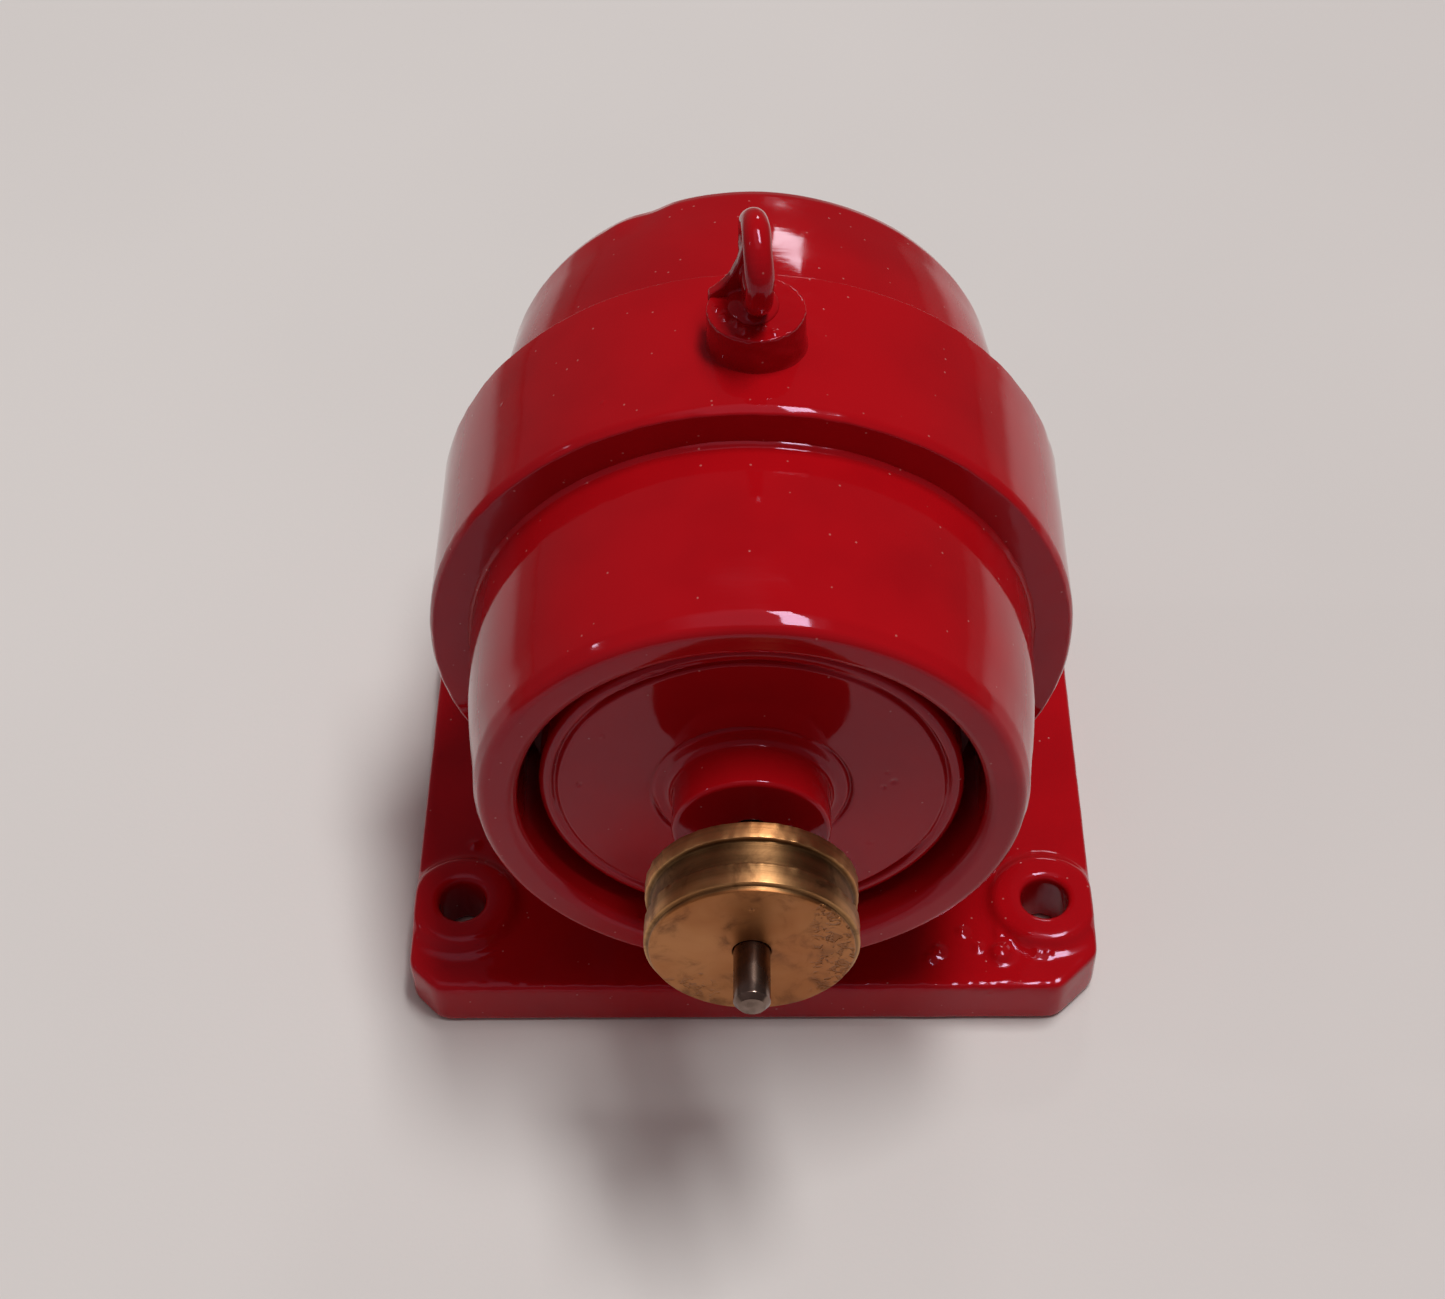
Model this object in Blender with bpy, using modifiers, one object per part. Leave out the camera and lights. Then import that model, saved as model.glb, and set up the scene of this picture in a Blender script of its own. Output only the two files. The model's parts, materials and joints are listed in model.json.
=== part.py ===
"""Model dynamo: a bench-top toy generator that a model steam engine drives by a thread or spring belt.

A flat base plate carries a thick field ring. Two turned drums plug into the ring from either side, and
a small permanent-magnet motor sits in their bore as the generator. Its shaft carries a brass pulley.
Metres, +Z up, +Y to the back. The origin is the centre of the base plate's underside.
"""

import math

import bmesh
import bpy
from mathutils import Vector

# Base plate
BASE_WIDTH = 0.0500
BASE_DEPTH = 0.0400
BASE_THICKNESS = 0.0042
BASE_CORNER = 0.0024
CUT_BELOW = -0.0010              # where cutters that pass right through the plate start and end
CUT_ABOVE = 0.0080
BOLT_X = 0.0214
BOLT_Y = 0.0127
BOLT_HOLE_RADIUS = 0.0017
PAD_RADIUS = 0.0037
PAD_HEIGHT = 0.0008

# Casing, on an axis along Y
AXIS_HEIGHT = 0.0260
RING_RADIUS = 0.0220
RING_HALF_LENGTH = 0.0065
RING_CHAMFER = 0.0004
DRUM_SIDE = ((0.0, 0.0191), (0.4, 0.0191), (0.7, 0.01875), (1.0, 0.0181))    # share of the length, radius
DRUM_BORE = 0.01515
DRUM_RIM_ROUND = 0.0020
DRUM_LIP_ROUND = 0.00095
FRONT_DRUM_END = -0.0208
REAR_DRUM_END = 0.0209
SPIGOT_RADIUS = 0.0170
SEAT_GAP = 0.0003

# Generator motor
CAN_RADIUS = 0.01385
CAN_WALL = 0.0010
CAN_FACE = -0.0191
CAN_REAR = 0.0165
BOSS_RADIUS = 0.00515
BOSS_FACE = -0.0225
BOSS_OPENING = 0.0020
BOSS_BORE = 0.0038
BOSS_LIP = 0.0006
CAN_DRAW_ROUND = 0.0008          # round of the can's front edge, and of the boss where it meets the face
SLEEVE_INNER = 0.01415
SLEEVE_OUTER = 0.01485
SLEEVE_HALF_LENGTH = 0.0130
FRONT_BUSH = (0.0035, -0.0216, -0.0184)      # radius, front, rear
REAR_BUSH = (0.0031, 0.0145, 0.0174)
CAP_BEARING_BORE = 0.0034
CAP_BEARING_BOSS = 0.0042
CAP_SHAFT_HOLE = 0.0014
CAP_BOSS_HEIGHT = 0.0009
CAP_BOSS_FLOOR = 0.0005
TERMINAL_HALF_WIDTH = 0.0012
TERMINAL_HALF_THICKNESS = 0.00025
SLOT_HALF_WIDTH = 0.0016
SLOT_HALF_THICKNESS = 0.0006
CLIP_THICKNESS = 0.0006
CLIP_LENGTH = 0.0030
CLIP_HALF_ANGLE = math.radians(35)
SHAFT_RADIUS = 0.00115
SHAFT_FRONT = -0.0356
SHAFT_REAR = 0.0172
RUNNING_BORE = 0.00125
FIXED_BORE = 0.00145
STACK_RADIUS = 0.0094
STACK_MIDDLE = -0.0050
STACK_LENGTH = 0.0160
HUB_RADIUS = 0.0032
TOOTH_HALF_WIDTH = 0.0015
SHOE_INNER_RADIUS = 0.0074
SHOE_HALF_ANGLE = math.radians(50)
MAGNET_INNER_RADIUS = 0.0099
MAGNET_OUTER_RADIUS = 0.01255
MAGNET_HALF_ANGLE = math.radians(52)
MAGNET_LENGTH = 0.0200
COMMUTATOR_RADIUS = 0.0034
COMMUTATOR_MIDDLE = 0.0100
COMMUTATOR_LENGTH = 0.0050
COMMUTATOR_HUB_RADIUS = 0.0025
SEGMENT_INNER_RADIUS = 0.0028
SEGMENT_HALF_ANGLE = math.radians(54)
POLES = 3
COIL_INNER = 0.0037              # how far from the axis the coil starts and ends
COIL_OUTER = 0.0057
COIL_HALF_WIDTH = 0.0038
COIL_OVERHANG = 0.0024
COIL_CORNER = 0.0016
COIL_WINDOW_CORNER = 0.0002
WASHER_RADIUS = 0.0026
WASHER_THICKNESS = 0.0005
FRONT_WASHER = -0.0178
REAR_WASHER = 0.0131
SHAFT_TIP = 0.00035

# Pulley
PULLEY_RADIUS = 0.0067
PULLEY_FRONT = -0.0316
PULLEY_REAR = -0.0266
GROOVE_FRONT = -0.0297
GROOVE_REAR = -0.0278
GROOVE_RADIUS = 0.0063
PULLEY_EDGE = 0.0003

# Lifting eye
EYE_WIRE_RADIUS = 0.0009
EYE_RADIUS = 0.00245
EYE_HEIGHT = 0.0543
EYE_TURN = math.radians(5)
EYE_X = 0.0005                   # the eye stands a little off the middle
STUD_BOTTOM = 0.0440
STUD_CHAMFER = 0.0003
SPOT_FACE_TOP = 0.0500
COLLAR_EDGE = 0.0003
COLLAR_RADIUS = 0.0032
COLLAR_BOTTOM = 0.0478
COLLAR_TOP = 0.0506
STUD_RADIUS = 0.0012

# Screws that hold the ring down, from under the plate
SCREW_X = 0.0048
SCREW_RADIUS = 0.0015
SCREW_HEAD_RADIUS = 0.0028
SCREW_HEAD_HEIGHT = 0.0014
SCREW_SUNK = 0.0004
SCREW_TOP = 0.0085
SCREW_CLEARANCE = 0.0001
SCREW_TIP = 0.0004
SOCKET_RADIUS = 0.00115
SOCKET_DEPTH = 0.0010

# Brush gear
BRUSH_ARM_X = 0.0055
BRUSH_PIVOT_Z = AXIS_HEIGHT - 0.0080
BRUSH_ARM_THICKNESS = 0.0003
BRUSH_ARM_WIDTH = 0.0030
BRUSH_FACE_X = COMMUTATOR_RADIUS + SEAT_GAP
BRUSH_HALF_HEIGHT = 0.0012
BRUSH_INSET = 0.0004
BRUSH_ARM_FOOT = 0.0004
BRUSH_ARM_TOP = AXIS_HEIGHT + 0.0018
TERMINAL_X = 0.0053
TERMINAL_Z = AXIS_HEIGHT - 0.0092
TERMINAL_REAR = 0.0200
CAP_FRONT = 0.0142
CAP_FLANGE = 0.0168
CAP_REAR = 0.0182

FINISHES = {                     # colour, roughness, metallic
    "red_enamel": ((0.36, 0.005, 0.010), 0.18, 0.0),
    "brass": ((0.62, 0.36, 0.14), 0.35, 1.0),
    "steel": ((0.42, 0.41, 0.40), 0.30, 1.0),
    "zinc": ((0.55, 0.56, 0.57), 0.40, 1.0),
    "copper": ((0.70, 0.25, 0.12), 0.35, 1.0),
    "bronze": ((0.45, 0.28, 0.12), 0.50, 1.0),
    "enamelled_wire": ((0.45, 0.12, 0.04), 0.30, 0.4),
    "ferrite": ((0.05, 0.05, 0.055), 0.70, 0.0),
    "carbon": ((0.03, 0.03, 0.03), 0.80, 0.0),
    "black_plastic": ((0.02, 0.02, 0.02), 0.45, 0.0),
    "fibre": ((0.30, 0.22, 0.14), 0.80, 0.0),
    "packing_rubber": ((0.04, 0.04, 0.04), 0.75, 0.0),
}

AXIS = Vector((0.0, 0.0, AXIS_HEIGHT))
ALONG_Y = (-math.pi / 2, 0.0, 0.0)      # turned shapes: local +Z becomes +Y
OUTLINE_Y = (math.pi / 2, 0.0, 0.0)     # outlines: local X, Y become X, Z


def start_scene():
    for old in list(bpy.data.objects):
        bpy.data.objects.remove(old)
    groups = []
    for title in ("model_dynamo", "cutters"):
        group = bpy.data.collections.new(title)
        bpy.context.scene.collection.children.link(group)
        groups.append(group)
    return groups


PARTS, CUTTERS = start_scene()


def finish(part, finish_name):
    """Gives a part its own material and smooth shading between its sharp edges."""
    colour, roughness, metallic = FINISHES[finish_name]
    material = bpy.data.materials.new(f"{part.name}_{finish_name}")
    material.use_nodes = True
    shader = material.node_tree.nodes["Principled BSDF"]
    shader.inputs["Base Color"].default_value = (*colour, 1.0)
    shader.inputs["Roughness"].default_value = roughness
    shader.inputs["Metallic"].default_value = metallic
    material.diffuse_color = (*colour, 1.0)
    part.data.materials.clear()
    part.data.materials.append(material)
    if part.type == "MESH":
        part.data.shade_smooth()
        part.data.set_sharp_from_angle(angle=math.radians(35))
    return part


def add_object(name, data, group=None):
    part = bpy.data.objects.new(name, data)
    (group or PARTS).objects.link(part)
    return part


def mesh_from(build, name):
    """A new mesh from a function that fills a bmesh."""
    work = bmesh.new()
    build(work)
    mesh = bpy.data.meshes.new(name)
    work.to_mesh(mesh)
    work.free()
    return mesh


def as_cutter(part):
    PARTS.objects.unlink(part)
    CUTTERS.objects.link(part)
    part.hide_render = True
    part.display_type = "WIRE"
    return part


def boolean(part, tool, operation="DIFFERENCE"):
    step = part.modifiers.new(tool.name, "BOOLEAN")
    step.operation = operation
    step.solver = "EXACT"
    step.object = tool
    return part


def turned(name, profile, finish_name, steps=48, centre=AXIS, rotation=ALONG_Y):
    """A lathe-turned solid from (radius, position along the axis) points, given as a closed outline."""
    area = 0.0
    for (r1, a1), (r2, a2) in zip(profile, profile[1:] + profile[:1]):
        area += r1 * a2 - r2 * a1
    points = profile if area < 0 else profile[::-1]
    mesh = bpy.data.meshes.new(name)
    closed = min(radius for radius, _ in points) > 0
    if not closed:
        first = next(
            i for i, point in enumerate(points)
            if point[0] == 0 and points[i - 1][0] == 0
        )
        points = points[first:] + points[:first]
    edges = [(i, i + 1) for i in range(len(points) - 1)]
    if closed:
        edges.append((len(points) - 1, 0))
    mesh.from_pydata([(radius, 0.0, along) for radius, along in points], edges, [])
    part = add_object(name, mesh)
    part.location = centre
    part.rotation_euler = rotation
    screw = part.modifiers.new("turn", "SCREW")
    screw.steps = steps
    screw.render_steps = steps
    screw.use_merge_vertices = True
    screw.merge_threshold = 0.00001
    return finish(part, finish_name)


def bake(part):
    """Turns a curve, or an object's modifiers, into a plain welded mesh."""
    bpy.context.view_layer.update()
    graph = bpy.context.evaluated_depsgraph_get()
    mesh = bpy.data.meshes.new_from_object(part.evaluated_get(graph))
    work = bmesh.new()
    work.from_mesh(mesh)
    bmesh.ops.remove_doubles(work, verts=work.verts, dist=0.000001)
    work.to_mesh(mesh)
    work.free()
    name = part.name
    place = part.matrix_world.copy()
    bpy.data.objects.remove(part)
    solid = add_object(name, mesh)
    solid.matrix_world = place
    return solid


def extruded(name, outlines, thickness, finish_name, location, rotation):
    """A flat outline, with any holes, given thickness: each outline is a list of (x, y) points."""
    curve = bpy.data.curves.new(name, "CURVE")
    curve.dimensions = "2D"
    curve.fill_mode = "BOTH"
    curve.extrude = thickness / 2
    for outline in outlines:
        spline = curve.splines.new("POLY")
        spline.points.add(len(outline) - 1)
        for point, (x, y) in zip(spline.points, outline):
            point.co = (x, y, 0.0, 1.0)
        spline.use_cyclic_u = True
    part = add_object(name, curve)
    part.location = location
    part.rotation_euler = rotation
    return finish(bake(part), finish_name)


def rod(name, radius, bottom, top, steps=24, x=0.0, y=0.0):
    """An upright cylinder cutter."""
    mesh = mesh_from(
        lambda work: bmesh.ops.create_cone(
            work, cap_ends=True, segments=steps, radius1=radius, radius2=radius, depth=top - bottom
        ),
        name,
    )
    part = add_object(name, mesh)
    part.location = (x, y, (top + bottom) / 2)
    return as_cutter(part)


def block(name, low, high, finish_name):
    """A box between two corners."""
    size = Vector(high) - Vector(low)
    mesh = mesh_from(lambda work: bmesh.ops.create_cube(work, size=1.0), name)
    for vertex in mesh.vertices:
        vertex.co = Vector([value * side for value, side in zip(vertex.co, size)])
    part = add_object(name, mesh)
    part.location = (Vector(high) + Vector(low)) / 2
    return finish(part, finish_name)


def arc(radius, start, end, steps, centre=(0.0, 0.0)):
    """Points on an arc, from one angle to another, both included."""
    points = []
    for step in range(steps + 1):
        angle = start + (end - start) * step / steps
        points.append((centre[0] + radius * math.cos(angle), centre[1] + radius * math.sin(angle)))
    return points


def sector(inner, outer, middle, half_angle, steps):
    """The outline of a piece of a ring."""
    outside = arc(outer, middle - half_angle, middle + half_angle, steps)
    return outside + arc(inner, middle + half_angle, middle - half_angle, steps)


def ride_on(parts, axis_empty):
    """Parents parts to the empty on their joint's axis, and keeps them where they are."""
    bpy.context.view_layer.update()
    for part in parts:
        part.parent = axis_empty
        part.matrix_parent_inverse = axis_empty.matrix_world.inverted()


def axis_empty(name, place):
    empty = bpy.data.objects.new(name, None)
    empty.empty_display_size = 0.004
    empty.location = place
    PARTS.objects.link(empty)
    return empty


def make_base_plate():
    """Plate with clipped corners, four bolt pads, a milled seat for the ring and two screw holes."""
    half_x = BASE_WIDTH / 2
    half_y = BASE_DEPTH / 2
    outline = []
    for sx, sy in ((1, -1), (1, 1), (-1, 1), (-1, -1)):
        along_x = (sx * (half_x - BASE_CORNER), sy * half_y)
        along_y = (sx * half_x, sy * (half_y - BASE_CORNER))
        outline += [along_x, along_y] if sx * sy < 0 else [along_y, along_x]
    plate = extruded(
        "base_plate", [outline], BASE_THICKNESS, "red_enamel", (0.0, 0.0, BASE_THICKNESS / 2), (0.0, 0.0, 0.0)
    )
    for side_x in (-1, 1):
        for side_y in (-1, 1):
            place = {"x": side_x * BOLT_X, "y": side_y * BOLT_Y}
            tag = f"{'right' if side_x > 0 else 'left'}_{'rear' if side_y > 0 else 'front'}"
            pad = rod(f"pad_{tag}", PAD_RADIUS, BASE_THICKNESS / 2, BASE_THICKNESS + PAD_HEIGHT, 32, **place)
            boolean(plate, pad, "UNION")
            boolean(plate, rod(f"bolt_hole_{tag}", BOLT_HOLE_RADIUS, CUT_BELOW, CUT_ABOVE, 20, **place))
    seat = turned(
        "ring_seat",
        [(0, -RING_HALF_LENGTH - SEAT_GAP), (RING_RADIUS + SEAT_GAP, -RING_HALF_LENGTH - SEAT_GAP),
         (RING_RADIUS + SEAT_GAP, RING_HALF_LENGTH + SEAT_GAP), (0, RING_HALF_LENGTH + SEAT_GAP)],
        "red_enamel", 72,
    )
    boolean(plate, as_cutter(seat))
    head_hole = SCREW_HEAD_RADIUS + SEAT_GAP
    shank_hole = SCREW_RADIUS + SEAT_GAP
    for side in (-1, 1):
        sunk = turned(
            f"countersink_{'right' if side > 0 else 'left'}",
            [(0, CUT_BELOW), (head_hole, CUT_BELOW), (head_hole, SCREW_SUNK),
             (shank_hole, SCREW_SUNK + SCREW_HEAD_HEIGHT), (shank_hole, CUT_ABOVE), (0, CUT_ABOVE)],
            "red_enamel", 24, (side * SCREW_X, 0.0, 0.0), (0.0, 0.0, 0.0),
        )
        boolean(plate, as_cutter(sunk))
    return plate


def make_field_ring():
    """The thick ring round the middle, spot-faced on top for the lifting eye."""
    end = RING_HALF_LENGTH
    rim = RING_RADIUS
    bore = SPIGOT_RADIUS + SEAT_GAP
    half = [(bore, end), (rim - RING_CHAMFER, end), (rim, end - RING_CHAMFER)]
    ring = turned("field_ring", half + [(radius, -along) for radius, along in half[::-1]], "red_enamel", 64)
    spot_radius = COLLAR_RADIUS + SEAT_GAP
    boolean(ring, rod("eye_spot_face", spot_radius, COLLAR_BOTTOM - SEAT_GAP, SPOT_FACE_TOP, 32, EYE_X))
    bore_floor = AXIS_HEIGHT + SPIGOT_RADIUS - SEAT_GAP
    boolean(ring, rod("eye_stud_hole", STUD_RADIUS + SEAT_GAP, bore_floor, SPOT_FACE_TOP, 20, EYE_X))
    for side in (-1, 1):
        tag = "right" if side > 0 else "left"
        hole = rod(f"ring_screw_hole_{tag}", SCREW_RADIUS + SEAT_GAP, CUT_BELOW, SCREW_TOP + SEAT_GAP, 20,
                   side * SCREW_X)
        boolean(ring, hole)
    return ring


def make_drum(name, end):
    """A turned end shell: a spigot inside the ring, and outside it a drum that narrows to a round, open rim."""
    way = 1 if end > 0 else -1
    reach = abs(end)
    shoulder = RING_HALF_LENGTH + SEAT_GAP
    profile = [(DRUM_BORE, SEAT_GAP / 2), (SPIGOT_RADIUS, SEAT_GAP / 2), (SPIGOT_RADIUS, shoulder)]
    rim_start = reach - DRUM_RIM_ROUND
    profile += [(radius, shoulder + (rim_start - shoulder) * share) for share, radius in DRUM_SIDE[:-1]]
    rim_radius = DRUM_SIDE[-1][1]
    profile += arc(DRUM_RIM_ROUND, 0.0, math.pi / 2, 4, (rim_radius - DRUM_RIM_ROUND, rim_start))
    lip_centre = (DRUM_BORE + DRUM_LIP_ROUND, reach - DRUM_LIP_ROUND)
    profile += arc(DRUM_LIP_ROUND, math.pi / 2, math.pi, 2, lip_centre)
    return turned(name, [(radius, way * along) for radius, along in profile], "red_enamel", 56)


def make_lifting_eye():
    """Collar on the ring, and an eye on a stud that screws through it."""
    turned(
        "eye_collar",
        [(STUD_RADIUS + SEAT_GAP, COLLAR_BOTTOM), (COLLAR_RADIUS, COLLAR_BOTTOM),
         (COLLAR_RADIUS, COLLAR_TOP - COLLAR_EDGE), (COLLAR_RADIUS - COLLAR_EDGE, COLLAR_TOP),
         (STUD_RADIUS + SEAT_GAP, COLLAR_TOP)],
        "red_enamel", 28, (EYE_X, 0.0, 0.0), (0.0, 0.0, 0.0),
    )
    stud_top = EYE_HEIGHT - EYE_RADIUS
    eye = turned(
        "lifting_eye",
        [(0, STUD_BOTTOM), (STUD_RADIUS - STUD_CHAMFER, STUD_BOTTOM), (STUD_RADIUS, STUD_BOTTOM + STUD_CHAMFER),
         (STUD_RADIUS, COLLAR_TOP + STUD_CHAMFER), (EYE_WIRE_RADIUS, stud_top), (0, stud_top)],
        "red_enamel", 20, (EYE_X, 0.0, 0.0), (0.0, 0.0, 0.0),
    )
    bpy.ops.mesh.primitive_torus_add(
        major_radius=EYE_RADIUS, minor_radius=EYE_WIRE_RADIUS, major_segments=26, minor_segments=10,
        location=(EYE_X, 0.0, EYE_HEIGHT), rotation=(0.0, math.pi / 2, EYE_TURN),
    )
    loop = bpy.context.object
    loop.name = "eye_loop"
    for group in loop.users_collection:
        group.objects.unlink(loop)
    PARTS.objects.link(loop)
    boolean(eye, as_cutter(loop), "UNION")


def make_base_screws():
    """Countersunk screws from below, with hexagon sockets."""
    for side, tag in ((-1, "left"), (1, "right")):
        low = SCREW_SUNK
        screw = turned(
            f"base_screw_{tag}",
            [(0, low), (SCREW_HEAD_RADIUS - SCREW_CLEARANCE, low),
             (SCREW_RADIUS, low + SCREW_HEAD_HEIGHT - SCREW_CLEARANCE), (SCREW_RADIUS, SCREW_TOP - SCREW_TIP),
             (SCREW_RADIUS - SCREW_TIP, SCREW_TOP), (0, SCREW_TOP)],
            "steel", 24, (side * SCREW_X, 0.0, 0.0), (0.0, 0.0, 0.0),
        )
        socket = rod(f"screw_socket_{tag}", SOCKET_RADIUS, CUT_BELOW, low + SOCKET_DEPTH, 6, side * SCREW_X)
        boolean(screw, socket)


def make_motor_case():
    """Drawn steel can with its bearing boss, the packing that centres it, and the moulded rear cap."""
    inside = CAN_RADIUS - CAN_WALL
    edge = CAN_DRAW_ROUND
    turned(
        "motor_can",
        [(CAN_RADIUS, CAN_REAR), (CAN_RADIUS, CAN_FACE + edge), (CAN_RADIUS - edge / 3, CAN_FACE + edge / 3),
         (CAN_RADIUS - edge, CAN_FACE), (BOSS_RADIUS + edge / 2, CAN_FACE), (BOSS_RADIUS, CAN_FACE - edge / 2),
         (BOSS_RADIUS, BOSS_FACE + edge / 3), (BOSS_RADIUS - edge / 3, BOSS_FACE), (BOSS_OPENING, BOSS_FACE),
         (BOSS_OPENING, BOSS_FACE + BOSS_LIP), (BOSS_BORE, BOSS_FACE + BOSS_LIP),
         (BOSS_BORE, CAN_FACE + CAN_WALL), (inside, CAN_FACE + CAN_WALL), (inside, CAN_REAR)],
        "red_enamel", 48,
    )
    turned(
        "motor_sleeve",
        [(SLEEVE_INNER, -SLEEVE_HALF_LENGTH), (SLEEVE_OUTER, -SLEEVE_HALF_LENGTH),
         (SLEEVE_OUTER, SLEEVE_HALF_LENGTH), (SLEEVE_INNER, SLEEVE_HALF_LENGTH)],
        "packing_rubber", 36,
    )
    cap_radius = CAN_RADIUS - SEAT_GAP
    plug_radius = inside - SEAT_GAP
    boss_top = CAP_REAR + CAP_BOSS_HEIGHT
    boss_floor = CAP_REAR - CAP_BOSS_FLOOR
    cap = turned(
        "motor_end_cap",
        [(CAP_BEARING_BORE, CAP_FRONT), (plug_radius, CAP_FRONT), (plug_radius, CAP_FLANGE),
         (cap_radius, CAP_FLANGE), (cap_radius, CAP_REAR - edge / 2), (cap_radius - edge / 2, CAP_REAR),
         (CAP_BEARING_BOSS, CAP_REAR), (CAP_BEARING_BOSS - edge, boss_top), (CAP_SHAFT_HOLE, boss_top),
         (CAP_SHAFT_HOLE, boss_floor), (CAP_BEARING_BORE, boss_floor)],
        "black_plastic", 36,
    )
    for side, tag in ((-1, "left"), (1, "right")):
        slot = block(
            f"terminal_slot_{tag}",
            (side * TERMINAL_X - SLOT_HALF_WIDTH, CAP_FRONT - SEAT_GAP, TERMINAL_Z - SLOT_HALF_THICKNESS),
            (side * TERMINAL_X + SLOT_HALF_WIDTH, CAP_REAR + SEAT_GAP, TERMINAL_Z + SLOT_HALF_THICKNESS),
            "black_plastic",
        )
        boolean(cap, as_cutter(slot))
    for name, (outer, front, rear) in (("front_bush", FRONT_BUSH), ("rear_bush", REAR_BUSH)):
        turned(name, [(RUNNING_BORE, front), (outer, front), (outer, rear), (RUNNING_BORE, rear)], "bronze", 24)


def make_field():
    """Two ferrite magnet shells inside the can, and the spring clip that keeps them apart."""
    for name, middle in (("magnet_right", 0.0), ("magnet_left", math.pi)):
        outline = sector(MAGNET_INNER_RADIUS, MAGNET_OUTER_RADIUS, middle, MAGNET_HALF_ANGLE, 14)
        extruded(name, [outline], MAGNET_LENGTH, "ferrite", AXIS + Vector((0, STACK_MIDDLE, 0)), OUTLINE_Y)
    clip = sector(MAGNET_OUTER_RADIUS - CLIP_THICKNESS, MAGNET_OUTER_RADIUS, math.pi / 2, CLIP_HALF_ANGLE, 8)
    extruded("magnet_clip", [clip], CLIP_LENGTH, "steel", AXIS + Vector((0, STACK_MIDDLE, 0)), OUTLINE_Y)


def armature_outline():
    """Three teeth with wide pole shoes, round a hub."""
    root = math.asin(TOOTH_HALF_WIDTH / HUB_RADIUS)
    neck = math.asin(TOOTH_HALF_WIDTH / SHOE_INNER_RADIUS)
    pitch = math.tau / POLES
    points = []
    for pole in range(POLES):
        middle = math.pi / 2 + pole * pitch
        points += arc(HUB_RADIUS, middle - pitch + root, middle - root, 3)
        points += arc(SHOE_INNER_RADIUS, middle - neck, middle - SHOE_HALF_ANGLE, 4)
        points += arc(STACK_RADIUS, middle - SHOE_HALF_ANGLE, middle + SHOE_HALF_ANGLE, 12)
        points += arc(SHOE_INNER_RADIUS, middle + SHOE_HALF_ANGLE, middle + neck, 4)
    return points


def rounded_rectangle(half_x, half_y, radius):
    points = []
    for corner, (sx, sy) in enumerate(((1, 1), (-1, 1), (-1, -1), (1, -1))):
        centre = (sx * (half_x - radius), sy * (half_y - radius))
        points += arc(radius, corner * math.pi / 2, (corner + 1) * math.pi / 2, 4, centre)
    return points


def make_rotor():
    """Everything that turns: shaft, iron, coils, commutator, thrust washers and pulley."""
    tip = SHAFT_TIP
    shaft = turned(
        "shaft",
        [(0, SHAFT_FRONT), (SHAFT_RADIUS - tip, SHAFT_FRONT), (SHAFT_RADIUS, SHAFT_FRONT + tip),
         (SHAFT_RADIUS, SHAFT_REAR - tip), (SHAFT_RADIUS - tip, SHAFT_REAR), (0, SHAFT_REAR)],
        "steel", 24,
    )
    stack_place = AXIS + Vector((0, STACK_MIDDLE, 0))
    bore = arc(FIXED_BORE, 0, math.tau * 23 / 24, 23)
    core = extruded("armature_core", [armature_outline(), bore], STACK_LENGTH, "zinc", stack_place, OUTLINE_Y)
    turning = [shaft, core]
    for pole in range(POLES):
        angle = math.pi / 2 + pole * math.tau / POLES
        outward = Vector((math.cos(angle), 0.0, math.sin(angle)))
        half_stack = STACK_LENGTH / 2
        outside = rounded_rectangle(COIL_HALF_WIDTH, half_stack + COIL_OVERHANG, COIL_CORNER)
        window = rounded_rectangle(TOOTH_HALF_WIDTH + SEAT_GAP, half_stack + SEAT_GAP, COIL_WINDOW_CORNER)
        coil = extruded(
            f"winding_{pole + 1}", [outside, window], COIL_OUTER - COIL_INNER, "enamelled_wire",
            stack_place + outward * (COIL_OUTER + COIL_INNER) / 2, (0.0, math.pi / 2 - angle, 0.0),
        )
        turning.append(coil)
    length = COMMUTATOR_LENGTH / 2
    turning.append(turned(
        "commutator_hub",
        [(FIXED_BORE, COMMUTATOR_MIDDLE - length), (COMMUTATOR_HUB_RADIUS, COMMUTATOR_MIDDLE - length),
         (COMMUTATOR_HUB_RADIUS, COMMUTATOR_MIDDLE + length), (FIXED_BORE, COMMUTATOR_MIDDLE + length)],
        "black_plastic", 24,
    ))
    for pole in range(POLES):
        middle = math.pi / 6 + pole * math.tau / POLES
        outline = sector(SEGMENT_INNER_RADIUS, COMMUTATOR_RADIUS, middle, SEGMENT_HALF_ANGLE, 8)
        turning.append(extruded(
            f"commutator_segment_{pole + 1}", [outline], COMMUTATOR_LENGTH, "copper",
            AXIS + Vector((0, COMMUTATOR_MIDDLE, 0)), OUTLINE_Y,
        ))
    for name, front in (("front_washer", FRONT_WASHER), ("rear_washer", REAR_WASHER)):
        back = front + WASHER_THICKNESS
        outline = [(FIXED_BORE, front), (WASHER_RADIUS, front), (WASHER_RADIUS, back), (FIXED_BORE, back)]
        turning.append(turned(name, outline, "fibre", 24))
    turning.append(make_pulley())
    ride_on(turning, axis_empty("rotor_axis", AXIS))


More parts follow.
